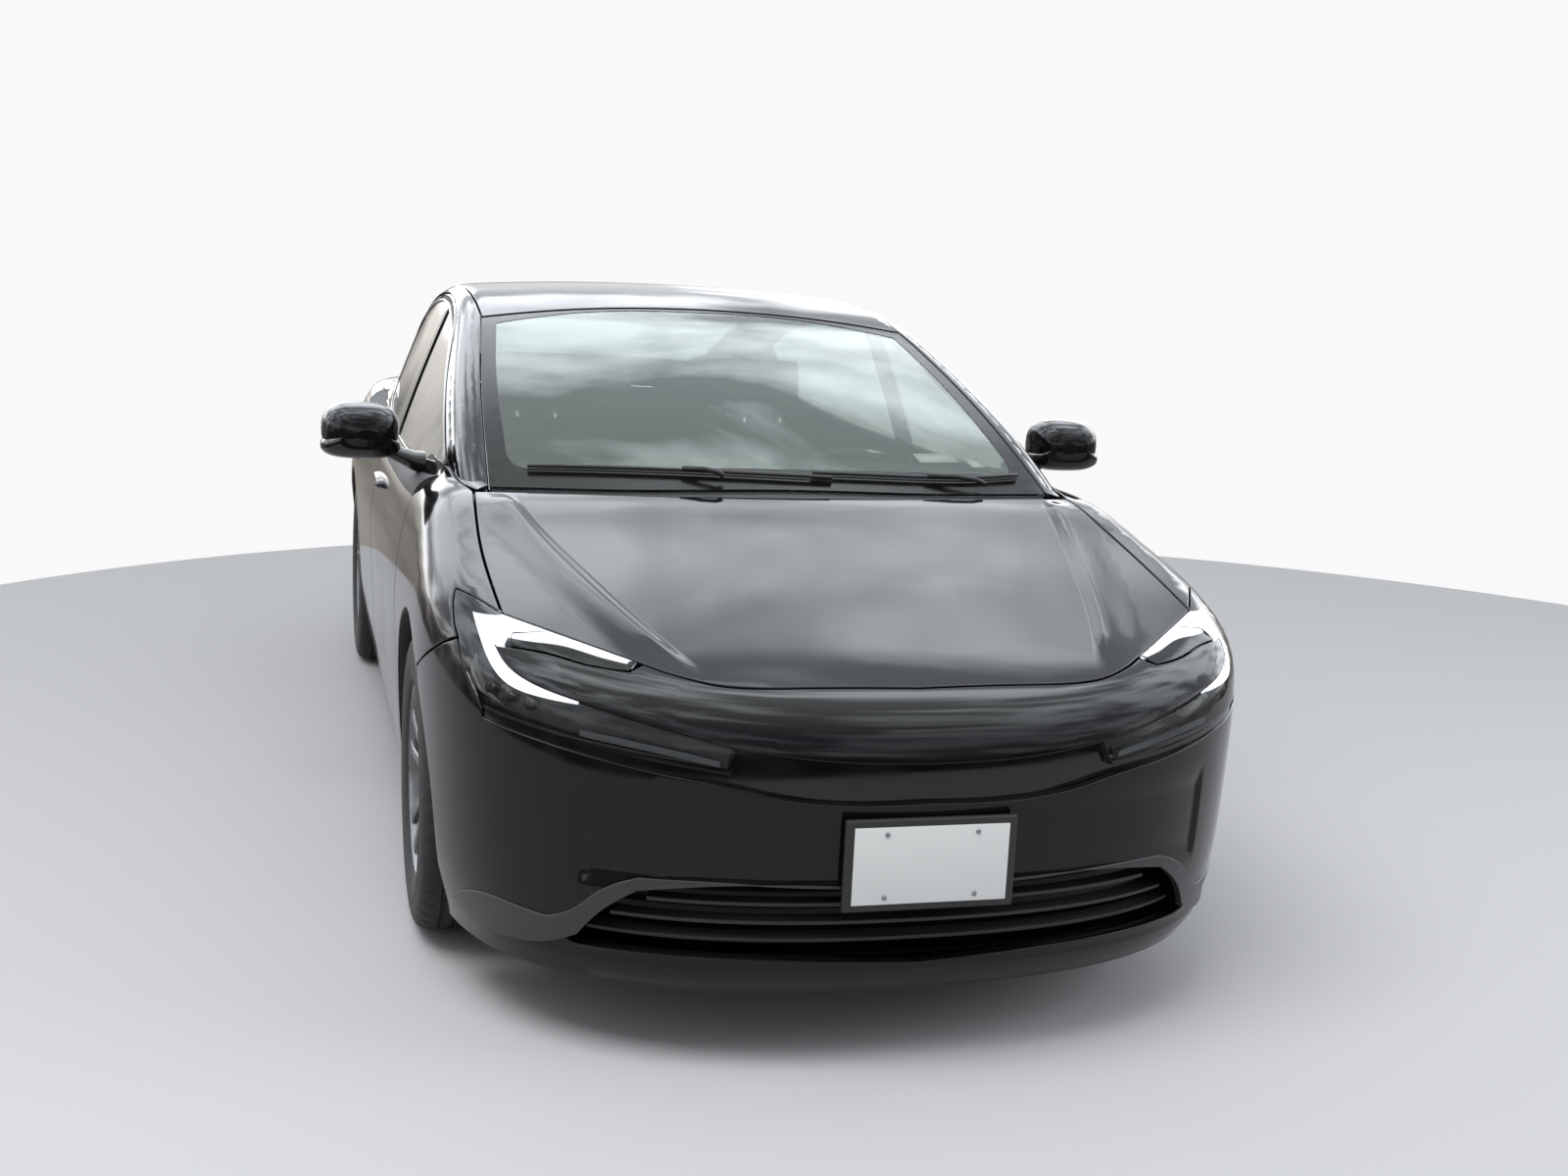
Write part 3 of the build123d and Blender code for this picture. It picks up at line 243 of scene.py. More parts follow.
FLAT = {
    "plan": lambda p: p[:, :2],
    "side": lambda p: p[:, 1:],
    "lean": lambda p: np.column_stack([p[:, 1], (p[:, 2] - p[:, 0]) / ROOT2]),
    "gate": lambda p: np.column_stack([p[:, 0], (p[:, 2] - p[:, 1]) / ROOT2]),
    "nose": lambda p: np.column_stack([NOSE_ROUND * np.arctan2(p[:, 0], NOSE_START - p[:, 1]), p[:, 2]]),
    "tail": lambda p: np.column_stack([TAIL_ROUND * np.arctan2(p[:, 0], p[:, 1] - TAIL_START), p[:, 2]]),
}
RAYS = {
    "plan": straight([0.0, 0.0, -1.0], lambda u, v: (u, v, START_UP)),
    "side": straight([-1.0, 0.0, 0.0], lambda u, v: (START_SIDE, u, v)),
    "lean": straight(
        [-1 / ROOT2, 0.0, -1 / ROOT2], lambda u, v: ((START_LEAN - v) / ROOT2, u, (START_LEAN + v) / ROOT2)
    ),
    "gate": straight(
        [0.0, -1 / ROOT2, -1 / ROOT2], lambda u, v: (u, (START_GATE - v) / ROOT2, (START_GATE + v) / ROOT2)
    ),
    "back": straight([0.0, -1.0, 0.0], lambda u, v: (u, START_BACK, v)),
    "nose": round_about(NOSE_START, NOSE_ROUND, -1),
    "tail": round_about(TAIL_START, TAIL_ROUND, 1),
}


def lift(kind, q, shape=body_shape):
    """Points of a flat view, put on the shape by looking along the view."""
    start, way = RAYS[kind](np.asarray(q, float))
    t = np.zeros(len(start))
    for _ in range(46):
        t = t + 0.92 * shape(*(start + way * t[:, None]).T)
    for _ in range(5):
        here = shape(*(start + way * t[:, None]).T)
        ahead = shape(*(start + way * (t[:, None] + 0.5)).T)
        rate = np.minimum((ahead - here) / 0.5, -0.08)
        t = t - np.clip(here / rate, -12, 12)
    return start + way * t[:, None]


def on_body(kind, *q):
    """One point of a flat view, put on the body."""
    return lift(kind, [q])[0]


# ---------------- outlines
def course(run, step=8.0):
    """Dense points along a run: a line of two points or a smooth curve of more."""
    p = np.array(run, float)
    at = np.concatenate([[0], np.cumsum(np.hypot(*np.diff(p, axis=0).T))])
    where = np.linspace(0, at[-1], max(2, int(round(at[-1] / step)) + 1))
    if len(p) == 2:
        return np.column_stack([np.interp(where, at, p[:, k]) for k in range(2)])
    return np.column_stack([smooth_line(list(zip(at, p[:, k])))(where) for k in range(2)])


def border(*pieces, shape=body_shape, step=8.0):
    """A closed loop of points on the body from (view, run) pieces end to end."""
    nearest = 1.5
    points = []
    for kind, run in pieces:
        placed = lift(kind, course(run, step), shape)
        points.extend(placed if not points else placed[1:])
    points = np.array(points)
    keep = [0]
    for i in range(1, len(points)):
        if np.linalg.norm(points[i] - points[keep[-1]]) > nearest:
            keep.append(i)
    if np.linalg.norm(points[keep[-1]] - points[0]) < nearest:
        keep.pop()
    return points[keep]


def across(*pieces, **options):
    """A loop over both sides, from the half that runs from the middle round to the middle."""
    half = border(*pieces, **options)
    return np.vstack([half, (half * [-1, 1, 1])[::-1][1:-1]])


def views(kind, *runs):
    """Whole runs in one view."""
    return [(kind, run) for run in runs]


def legs(kind, first, *more):
    """Runs in one view, each going on from the last point of the one before."""
    runs = [first]
    for run in more:
        runs.append([runs[-1][-1]] + run)
    return views(kind, *runs)


def back(run):
    return run[::-1]


def frame_top(s, under=0.0):
    """Level of the door frames' upper edge at a station."""
    cover = np.interp(s, [FRONT_CUT, 1800, 2200, 2600, 3300, FRAME_END], [75, 60, 30, 22, 25, 45])
    return float(crest(s) - crest_drop(s) * (FRAME_X / CREST_HALF) ** 2 - cover - under)


def top_run(start, end, count, under=0.0):
    return [(s, frame_top(s, under)) for s in np.linspace(start, end, count)]


def arch_run(axle, radius, start, end):
    """Part of a wheel arch between two angles in degrees, in the side view."""
    angles = np.radians(np.linspace(start, end, max(3, int(abs(end - start) / 8))))
    return [(axle + radius * math.cos(a), AXLE_LEVEL + radius * math.sin(a)) for a in angles]


def cut_line(start, end):
    """A line across the body at one station, in the leaning view."""
    return ("lean", [(p[1], (p[2] - p[0]) / ROOT2) for p in (start, end)])


# ---------------- making objects
def unit(v):
    return v / np.linalg.norm(v, axis=-1, keepdims=True)


def placed(points):
    """Millimetre points in the frame's metres."""
    return ((np.asarray(points, float) - [0, HALF_LENGTH, 0]) * MM).tolist()


def add_object(name, mesh, *materials):
    for material in materials:
        mesh.materials.append(material)
    obj = bpy.data.objects.new(name, mesh)
    bpy.context.scene.collection.objects.link(obj)
    return obj


def closed_mesh(name, points, faces, material, weld=False):
    """An object from millimetre points, its faces turned outwards and its large ends flat."""
    mesh = bpy.data.meshes.new(name)
    mesh.from_pydata(placed(points), [], faces)
    fresh = bmesh.new()
    fresh.from_mesh(mesh)
    if weld:
        bmesh.ops.remove_doubles(fresh, verts=fresh.verts, dist=1e-6)
    bmesh.ops.recalc_face_normals(fresh, faces=fresh.faces[:])
    fresh.to_mesh(mesh)
    fresh.free()
    for face in mesh.polygons:
        face.use_smooth = len(face.vertices) < 6
    return add_object(name, mesh, material)


def ring_faces(count, rows, base=0):
    """Four-sided faces between closed rows of points."""
    return [
        (base + r * count + i, base + r * count + (i + 1) % count,
         base + (r + 1) * count + (i + 1) % count, base + (r + 1) * count + i)
        for r in range(rows - 1) for i in range(count)
    ]


def lofted(name, rings, material, closed_ends=True):
    """A smooth skin through rings of points in millimetres, all with the same count."""
    count = len(rings[0])
    faces = ring_faces(count, len(rings))
    if closed_ends:
        faces.append(tuple(range(count))[::-1])
        faces.append(tuple(range((len(rings) - 1) * count, len(rings) * count)))
    return closed_mesh(name, np.vstack(rings), faces, material)


def crisp(obj, angle=32):
    """Smooth shading with sharp edges past an angle in degrees."""
    for face in obj.data.polygons:
        face.use_smooth = True
    obj.data.set_sharp_from_angle(angle=math.radians(angle))
    return obj


def around(count):
    """Angles of a full turn."""
    return [2 * math.pi * k / count for k in range(count)]


def signed_power(v, exponent):
    return math.copysign(abs(v) ** exponent, v)


def oval(centre, half, power, along=(1, 0, 0)):
    """A rounded-rectangle ring about a centre, one half size along a level direction and one upwards."""
    ring = []
    for a in around(40):
        u = signed_power(math.cos(a), 2 / power) * half[0]
        v = signed_power(math.sin(a), 2 / power) * half[1]
        ring.append(np.add(centre, np.multiply(along, u)) + [0, 0, v])
    return np.array(ring)


def tube(name, path, radius, material, sides=10):
    """A round bar along points in millimetres."""
    rings = []
    path = np.array(path, float)
    for k, p in enumerate(path):
        way = unit(path[min(k + 1, len(path) - 1)] - path[max(k - 1, 0)])
        side_way = unit(np.cross(way, [0, 0, 1.0] if abs(way[2]) < 0.9 else [1.0, 0, 0]))
        up_way = np.cross(side_way, way)
        outward = [math.cos(a) * side_way + math.sin(a) * up_way for a in around(sides)]
        rings.append(np.array([p + radius * out for out in outward]))
    return lofted(name, rings, material)


def finished(obj, name, scale, centre, material):
    """Name a fresh primitive, stretch it, put it at a millimetre place and give it its material."""
    obj.name = name
    obj.data.transform(Matrix.Diagonal((*scale, 1)))
    obj.data.transform(Matrix.Translation(placed(centre)))
    obj.data.materials.append(material)
    return obj


def ball_at(name, centre, radius, material, scale=(1, 1, 1), segments=24):
    """A smooth ball at a point in millimetres."""
    bpy.ops.mesh.primitive_uv_sphere_add(segments=segments, ring_count=segments // 2, radius=radius * MM)
    ball = finished(bpy.context.object, name, scale, centre, material)
    for face in ball.data.polygons:
        face.use_smooth = True
    return ball


def block(name, centre, size, material, bevel=2.0):
    """A box with rounded edges, in millimetres."""
    bpy.ops.mesh.primitive_cube_add(size=1)
    box = finished(bpy.context.object, name, [v * MM for v in size], centre, material)
    if bevel:
        mesh = bmesh.new()
        mesh.from_mesh(box.data)
        bmesh.ops.bevel(mesh, geom=mesh.edges[:], offset=bevel * MM, segments=3, profile=0.5, affect="EDGES")
        mesh.to_mesh(box.data)
        mesh.free()
    for face in box.data.polygons:
        face.use_smooth = True
    return box


def turned_over(source, name, point_signs, normal_signs):
    """A copy of a mesh with its faces reversed, and its points and normals multiplied by signs."""
    faces = [tuple(face.vertices)[::-1] for face in source.polygons]
    corners = [i for face in source.polygons for i in list(face.loop_indices)[::-1]]
    mesh = bpy.data.meshes.new(name)
    mesh.from_pydata([tuple(np.multiply(v.co, point_signs)) for v in source.vertices], [], faces)
    mesh.polygons.foreach_set("use_smooth", [True] * len(faces))
    mesh.polygons.foreach_set("material_index", [face.material_index for face in source.polygons])
    for material in source.materials:
        mesh.materials.append(material)
    normals = [tuple(np.multiply(source.corner_normals[i].vector, normal_signs)) for i in corners]
    mesh.normals_split_custom_set(normals)
    return mesh


def inward(obj):
    """Turn a sheet over, so that it is the back face of the glass before it."""
    obj.data = turned_over(obj.data, obj.name, (1, 1, 1), (-1, -1, -1))
    return obj


def on(obj, body="root", slot=None, *nodes):
    """Put a piece on a body and hide the nodes it stands for; the slot argument is not used."""
    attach(obj, body)
    if nodes:
        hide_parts(*nodes)
    return obj


def both(obj, body, slot, *nodes):
    """Put a left-hand piece on a body and its twin on the right; SIDE stands for left or right."""
    name = obj.name.removesuffix("_left") + "_right"
    twin = add_object(name, turned_over(obj.data, name, (-1, 1, 1), (-1, 1, 1)))
    for one, which in ((obj, "left"), (twin, "right")):
        on(one, body.replace("SIDE", which), slot, *(node.replace("SIDE", which) for node in nodes))


# ---------------- sheet panels
def within(q, loops):
    """Even-odd test of flat points against flat loops."""
    inside = np.zeros(len(q), bool)
    for loop in loops:
        for (x0, y0), (x1, y1) in zip(loop, np.roll(loop, -1, axis=0)):
            if y0 != y1:
                crosses = (q[:, 1] > min(y0, y1)) & (q[:, 1] <= max(y0, y1))
                inside ^= crosses & (q[:, 0] < x0 + (q[:, 1] - y0) * (x1 - x0) / (y1 - y0))
    return inside


def clear_of(points, others, distance):
    """Those points that lie farther than a distance from all the others."""
    far = [np.min(np.sum((others - q) ** 2, axis=1)) > distance**2 for q in points]
    return points[np.array(far, bool)]


def into_panel(p, n, flat, outer):
    """Directions along the skin from a border into its panel, longer at corners to keep the gap even."""
    b1 = unit(np.cross(n, unit(p - np.roll(p, 1, axis=0))))
    b2 = unit(np.cross(n, unit(np.roll(p, -1, axis=0) - p)))
    b = (b1 + b2) / np.maximum(1 + np.sum(b1 * b2, axis=1), 0.55)[:, None]
    q = flat(p)
    ahead = np.roll(q, -1, axis=0)
    area = np.sum(q[:, 0] * ahead[:, 1] - ahead[:, 0] * q[:, 1])
    travel = ahead - np.roll(q, 1, axis=0)
    left = np.column_stack([-travel[:, 1], travel[:, 0]]) * np.sign(area)
    sense = np.sign(np.median(np.sign(np.sum((flat(p + b) - q) * left, axis=1))) + 0.1)
    return b * sense * (1 if outer else -1)


def edge_rows(shape, p, n, b, gap, radius, flange):
    """Rows of points and normals over a border's rounding and down its turned-in edge."""
    rows = []
    for turn in np.radians((0, 35, 65, 90)):
        row = p + b * (gap + radius * (1 - math.sin(turn))) - n * radius * (1 - math.cos(turn))
        rows.append((row, n * math.cos(turn) - b * math.sin(turn)))
    rows[0] = (settle(shape, rows[0][0], 2), rows[0][1])
    rows.append((p + b * gap - n * (radius + flange), -b))
    return rows


def inner_points(flats, grid, extra):
    """Even points inside flat loops in staggered rows, clear of the borders and of the extra points."""
    low, high = flats[0].min(axis=0), flats[0].max(axis=0)
    us, vs = (np.arange(low[k] + grid / 2, high[k], grid) for k in range(2))
    rows = [(u + k % 2 * grid / 2, v) for k, v in enumerate(vs) for u in us]
    points = np.array(rows, float).reshape(-1, 2)
    rim = np.vstack(flats)
    if len(extra):
        points = clear_of(points, extra, 0.4 * grid)
    points = clear_of(points[within(points, flats)], rim, 0.5 * grid)
    if len(extra):
        points = np.vstack([points, clear_of(extra[within(extra, flats)], rim, 3.0)])
    return points


def sheet_mesh(name, points, faces, normals, material):
    """An object from millimetre points, its faces turned to agree with the given normals."""
    points, normals = np.asarray(points, float), np.asarray(normals, float)
    turned = []
    for f in faces:
        a, b, c = points[f[0]], points[f[1]], points[f[2]]
        n = np.cross(c - a, points[f[3]] - b) if len(f) == 4 else np.cross(b - a, c - a)
        turned.append(tuple(f) if n @ normals[list(f)].sum(axis=0) >= 0 else tuple(f[::-1]))
    mesh = bpy.data.meshes.new(name)
    mesh.from_pydata(placed(points), [], turned)
    mesh.polygons.foreach_set("use_smooth", [True] * len(mesh.polygons))
    mesh.normals_split_custom_set_from_vertices(normals.tolist())
    return add_object(name, mesh, material)


def panel(name, kind, loops, material, shape, gap=2.2, radius=3.0, flange=16.0, grid=24.0, extra=()):
    """A sheet panel on the body: rounded border, turned-in edge and an even inside."""
    points, normals, faces, flats, index, edges = [], [], [], [], [], []
    flat = FLAT[kind]

    def add(places, ways):
        """Add points with normals and give their numbers."""
        first = len(points)
        points.extend(places)
        normals.extend(ways)
        return range(first, len(points))

    for which, p in enumerate(loops):
        n = slope(shape, p)
        rows = edge_rows(shape, p, n, into_panel(p, n, flat, which == 0), gap, radius, flange)
        faces += ring_faces(len(p), len(rows), len(points))
        edges += [(len(index) + i, len(index) + (i + 1) % len(p)) for i in range(len(p))]
        flats.append(flat(rows[0][0]))
        index.extend([add(*row) for row in rows][0])
    inner = inner_points(flats, grid, np.array(extra, float))
    if len(inner):
        spots = lift(kind, inner, shape)
        index.extend(add(spots, slope(shape, spots)))
    corners = [Vector(q) for q in np.vstack([*flats, inner])]
    verts, _, tris, origin = delaunay_2d_cdt(corners, edges, [], 0, 1e-6)[:4]
    ids = []
    for v, source in zip(verts, origin):
        if not source:
            spots = lift(kind, [tuple(v)], shape)
            ids.append(add(spots, slope(shape, spots))[0])
        else:
            ids.append(index[source[0]])
    centres = np.array([np.mean([verts[i] for i in t], axis=0) for t in tris])
    faces.extend(tuple(ids[i] for i in t) for t, ok in zip(tris, within(centres, flats)) if ok)
    return sheet_mesh(name, points, faces, normals, material)


def sheet(
    name, kind, runs, material, shape, body, slot, *nodes,
    loop=across, outline=None, holes=(), step=8.0, **sizes,
):
    """A panel inside its runs, put on a body: one across the middle or, with border, one and its twin."""
    loops = [loop(*part, shape=outline or shape, step=step) for part in (runs, *holes)]
    put = on if loop is across else both
    put(panel(name, kind, loops, material, shape, **sizes), body, slot, *nodes)


# ---------------- materials
def add_node(tree, kind, **values):
    """A shader node with its inputs set; their names are written with underscores."""
    made = tree.nodes.new("ShaderNode" + kind)
    for key, value in values.items():
        made.inputs[key.replace("_", " ")].default_value = value
    return made


def wire(tree, *links):
    """Join (node, output) to (node, input)."""
    for source, output, target, entry in links:
        tree.links.new(source.outputs[output], target.inputs[entry])


def grain(tree, scale, strength, distance, detail=4.0, stretch=(1, 1, 1)):
    """Fine noise relief."""
    place = add_node(tree, "TexCoord")
    mapping = add_node(tree, "Mapping", Scale=stretch)
    noise = add_node(tree, "TexNoise", Scale=scale, Detail=detail)
    bump = add_node(tree, "Bump", Strength=strength, Distance=distance)
    shader = tree.nodes["Principled BSDF"]
    wire(tree, (place, "Object", mapping, "Vector"), (mapping, "Vector", noise, "Vector"),
         (noise, "Fac", bump, "Height"), (bump, "Normal", shader, "Normal"))


def wear(tree, scale, low, high):
    """Uneven polish: roughness that drifts between two values."""
    place = add_node(tree, "TexCoord")
    noise = add_node(tree, "TexNoise", Scale=scale, Detail=5.0)
    level = add_node(tree, "MapRange", From_Min=0.3, From_Max=0.7, To_Min=low, To_Max=high)
    wire(tree, (place, "Object", noise, "Vector"), (noise, "Fac", level, "Value"),
         (level, "Result", tree.nodes["Principled BSDF"], "Roughness"))


def stuff(name, color, rough=0.5, metal=0.0, worn=None, relief=None, **inputs):
    """A material: colour and polish, uneven polish as (scale, low, high) and relief as grain takes it."""
    mat = bpy.data.materials.new(name)
    mat.use_nodes = True
    mat.diffuse_color = (*color, 1)
    basics = {"Base Color": (*color, 1), "Roughness": rough, "Metallic": metal, "Coat Roughness": 0.03}
    for key, value in {**basics, **inputs}.items():
        mat.node_tree.nodes["Principled BSDF"].inputs[key.replace("_", " ")].default_value = value
    if worn:
        wear(mat.node_tree, *worn)
    if relief:
        grain(mat.node_tree, *relief)
    return mat


def see_through(name, color, bend, **inputs):
    """Clear glass with a tint; bend is its refractive index."""
    return stuff(name, color, 0.0, Transmission_Weight=1.0, IOR=bend, **inputs)


paint = stuff("black_paint", (0.004, 0.004, 0.005), 0.07, 0, (5, 0.05, 0.1), (46, 0.012, 0.0006, 2.0),
              Specular_IOR_Level=0.3)
gloss = stuff("gloss_black", (0.004, 0.004, 0.004), 0.06, 0, (9, 0.05, 0.11))
trim = stuff("black_trim", (0.018, 0.018, 0.019), 0.55, 0, None, (900, 0.25, 0.0004))
satin = stuff("satin_grey", (0.034, 0.035, 0.037), 0.36, 0.2, None, (700, 0.15, 0.0003))
rubber = stuff("rubber", (0.012, 0.012, 0.012), 0.72, 0, None, (500, 0.2, 0.0004))
glass = see_through("glass", (0.60, 0.70, 0.66), 1.5, Specular_Tint=(0.86, 1.0, 0.93, 1))
side_glass = see_through("side_glass", (0.42, 0.47, 0.45), 1.5)
lens = see_through("lamp_lens", (0.55, 0.57, 0.58), 1.3)
chrome = stuff("chrome", (0.8, 0.81, 0.82), 0.12, 1.0, (30, 0.06, 0.16))
alloy = stuff("alloy", (0.17, 0.172, 0.176), 0.32, 0.85, (22, 0.24, 0.4), (240, 0.03, 0.0003, 3.0))
dark_alloy = stuff("dark_alloy", (0.035, 0.036, 0.038), 0.3, 0.6, (20, 0.22, 0.4))
steel = stuff("steel", (0.28, 0.28, 0.29), 0.4, 0.9, (35, 0.28, 0.52), (160, 0.12, 0.0003, 4.0, (1, 9, 1)))
cast = stuff("cast", (0.05, 0.05, 0.052), 0.6, 0.5, None, (300, 0.4, 0.0006))
white_light = stuff("white_light", (0.9, 0.92, 0.95), 0.3, Emission_Color=(0.92, 0.95, 1, 1),
                    Emission_Strength=1.0)
red = stuff("red_lens", (0.28, 0.008, 0.008), 0.12, 0, None, (60, 0.25, 0.0012, 1.0, (10, 1, 1)),
            Coat_Weight=1.0)
lamp_bowl = stuff("lamp_bowl", (0.03, 0.032, 0.035), 0.18, 0.3)
dull_lens = stuff("dull_lens", (0.085, 0.09, 0.095), 0.25, 0, None, (90, 0.2, 0.0008, 4.0, (12, 1, 1)))
pale = stuff("pale", (0.62, 0.63, 0.62), 0.5, 0, (14, 0.42, 0.6))
frit = stuff("frit", (0.004, 0.004, 0.004), 0.2, 0, (40, 0.16, 0.24), Specular_IOR_Level=0.16)
cabin = stuff("cabin", (0.025, 0.025, 0.027), 0.65, 0, None, (700, 0.3, 0.0005))
cloth = stuff("cloth", (0.028, 0.028, 0.031), 0.9, 0, None, (1500, 0.4, 0.0006))
well_lining = stuff("liner", (0.012, 0.012, 0.012), 0.85, 0, None, (400, 0.4, 0.0008))
floor_stuff = stuff("floor", (0.52, 0.52, 0.53), 0.85)

# ---------------- runs that neighbouring panels share
hood_front = [(0, 112), (220, 120), (400, 145), (478, 195)]
hood_lamp = [(478, 195), (610, 322), (743, 455)]
hood_side = [(743, 455), (750, 780), (733, 1098)]
hood_back = [(733, 1098), (400, 1052), (0, 1036)]
pillar_foot = [(733, 1098), (748, 1180), (763, 1280), (772, FRONT_CUT)]
lamp_top = [(743, 455), (820, 599)]
lamp_edge_high = [(1097, 835), (1040, 806), (967, 766)]
lamp_edge_low = [(967, 766), (908, 712), (850, 656)]
shield_low = [(0, 1064), (400, 1082), (695, 1140)]
shield_side = [(695, 1140), (665, 1600), (614, 2084)]
shield_top = [(614, 2084), (320, 2130), (0, 2144)]
roof_side = [(614, 2084), (606, ROOF_END)]
gate_side = [(606, ROOF_END), (612, 4000), (600, 4480)]
gate_drop = [(600, on_body("plan", 600, 4480)[2] - 1), (600, 905)]
gate_low = legs("back", [(600, 905), (545, 700)], [(480, 640)], [(0, 640)])
bumper_side = legs("side", [(700, 626), (700, 655)], [(451, 766)])
quarter_low = [(4330, 800), (4120, 705), (3905, 650)]
quarter_back = [(4330, 905), (4330, 800)]
corner_ledge = [(621, 905), (751, 905)]
rear_edge = [(DOOR_END, DOOR_SILL), (3260, 333), (3275, 440), (3330, 570), (3420, 680)]
rear_edge += [(3530, 810), (3650, 940), (3728, 1080), (FRAME_END, frame_top(FRAME_END))]
foot = on_body("plan", 772, FRONT_CUT)
low_front, sill_front = (on_body("side", FRONT_CUT, level) for level in (SKIRT, DOOR_SILL))
top_front = on_body("side", FRONT_CUT, frame_top(FRONT_CUT))
sill_seam, top_seam = (on_body("side", SEAM, level) for level in (DOOR_SILL, frame_top(SEAM)))
hatch_glass = legs("plan", [(0, 3462), (520, 3480)], [(505, 4230)], [(0, 4262)])
light_bar = legs("back", [(0, 925), (578, 925)], [(578, 978)], [(0, 982)])


def door_glass(foot_line, start, end, count):
    """The outline of a door's glass from the line along its foot."""
    top = top_run(start, end, count, PANE_COVER)
    return legs("side", foot_line, [top[0]], top[1:], [foot_line[0]])


front_glass = door_glass([(2440, 966), (2000, 964), (1500, 992)], 1500, 2440, 7)
rear_glass = door_glass([(3610, 1032), (3250, 992), (2900, 972), (2520, 964)], 2520, 3660, 8)

# ---------------- hood, roof, tailgate, sides and fenders
crease_run = smooth_line([(112, 385), (340, 475), (600, 555), (850, 620), (1100, 672)])


def hood_shape(x, s, z):
    """The hood's skin with its two long creases."""
    u = np.abs(x) - crease_run(s)
    ridge = soft_step(u, -22, 14) * (1 - soft_step(u, 14, 105))
    return lower_shape(x, s, z) - CREASE * ridge * soft_step(s, 150, 330) * (1 - soft_step(s, 1000, 1085))


ridge_points = [
    (side * (float(crease_run(s)) + d), s)
    for s in range(160, 1080, 14) for d in (-22, -12, -3, 6, 14, 24) for side in (-1, 1)
]
hood_runs = views("plan", hood_front, hood_lamp, hood_side, hood_back)
sheet("hood_skin", "plan", hood_runs, paint, hood_shape, "hood_lid", "paint", "hood",
      outline=lower_shape, extra=ridge_points)
roof_runs = views("plan", back(shield_top), roof_side, [(606, ROOF_END), (0, ROOF_END)])
sheet("roof_skin", "plan", roof_runs, paint, body_shape, "root", "paint", "roof_panel")
gate_runs = [*views("plan", [(0, ROOF_END), (606, ROOF_END)], gate_side), ("back", gate_drop), *gate_low]
sheet("gate_skin", "gate", gate_runs, paint, body_shape, "tailgate_lid", "paint", "tailgate",
      holes=(hatch_glass, light_bar))

side_runs = [
    *views("plan", shield_side, roof_side, gate_side), ("back", gate_drop), ("tail", corner_ledge),
    *views("side", quarter_back, quarter_low, arch_run(REAR_AXLE, REAR_ARCH, 57.1, 209)),
    *legs("side", [(3370, SKIRT), (FRONT_CUT, SKIRT)], [(FRONT_CUT, DOOR_SILL)], [(DOOR_END, DOOR_SILL)]),
    *views("side", rear_edge, top_run(FRAME_END, FRONT_CUT, 12)), cut_line(top_front, foot),
    ("plan", back(pillar_foot)[:-1] + [(724, 1112)]),
]
sheet("side_skin_left", "lean", side_runs, paint, body_shape, "root", "paint", "body_side_SIDE", loop=border)
fender_runs = [
    *views("plan", hood_side, pillar_foot), cut_line(foot, low_front),
    *views("side", [(FRONT_CUT, SKIRT), (1288.7, SKIRT)], arch_run(FRONT_AXLE, FRONT_ARCH, -28.4, 130.5)),
    *bumper_side, ("nose", back(lamp_edge_high)), ("plan", back(lamp_top)),
]
sheet("fender_skin_left", "lean", fender_runs, paint, body_shape, "root", "paint", "fenders", loop=border)


# ---------------- nose: lip, dark slot and the bumper's face
def nose_angle(x, s):
    return NOSE_ROUND * np.arctan2(np.abs(x), NOSE_START - s)


def slot_shape(x, s, z):
    """The dark slot, deepest at the middle."""
    return lower_shape(x, s, z) + 5 + 17 * soft_step(-nose_angle(x, s), -700, -330)


def face_shape(x, s, z):
    """The bumper's face: corners stand proud of the middle, the lip spoiler flares out."""
    a = nose_angle(x, s)
    middle = 9 * soft_step(-a, -642, -628) * soft_step(z, 352, 392) * soft_step(-z, -560, -500)
    lip = -7 * soft_step(-z, -232, -205) * soft_step(z, 150, 190) * soft_step(-a, -1000, -800)
    return lower_shape(x, s, z) + middle + lip


lip_line = [(0, 612), (200, 619), (363, 639)]
lamp_black = [(363, 639), (526, 676), (647, 701), (748, 720), (815, 741), (872, 770)]
arm_low = [(872, 770), (755, 768), (672, 758), (590, 752)]
lens_low = [(850, 656), (735, 643), (619, 629), (448, 607), (381, 598)]
trim_low = [(850, 640), (693, 622), (583, 606), (481, 590), (381, 575), (278, 553), (0, 541)]
hood_edge = course(hood_lamp, 6)
hood_turns = nose_angle(hood_edge[:, 0], hood_edge[:, 1])
hood_corner, hood_arm = hood_edge[hood_turns < 592], hood_edge[hood_turns > 592]
nose_runs = views("nose", lip_line, lamp_black, arm_low)
nose_runs += views("plan", back(hood_corner), back(hood_front))
sheet("nose_skin", "nose", nose_runs, paint, lower_shape, "root", "paint", "front_bumper",
      step=6.0, grid=18, radius=3.5)
slot_runs = legs(
    "nose", [(0, 534), (278, 546), (381, 568), (583, 599), (850, 633)], [(850, 662)],
    [(619, 636), (381, 606)], [(375, 646)], [(200, 626), (0, 619)],
)
sheet("nose_slot", "nose", slot_runs, gloss, slot_shape, "root", "paint", "front_bumper",
      gap=0, radius=1, flange=2)
face_runs = [
    ("nose", [(0, SKIRT), (1110.6, SKIRT)]), ("side", arch_run(FRONT_AXLE, FRONT_ARCH, 208.4, 130.5)),
    *bumper_side, *views("nose", lamp_edge_low, [lamp_edge_low[-1], trim_low[0]], trim_low),
]
intake = legs(
    "nose", [(0, 222), (441, 234), (640, 232)], [(664, 240), (648, 254)], [(585, 318), (524, 362)],
    [(444, 374), (0, 372)],
)
corner_creases = [(side * a, z) for a in range(622, 651, 4) for z in range(356, 545, 9) for side in (-1, 1)]
lip_creases = [(a, z) for z in range(200, 231, 6) for a in range(-900, 901, 18) if z < 216 or abs(a) > 690]
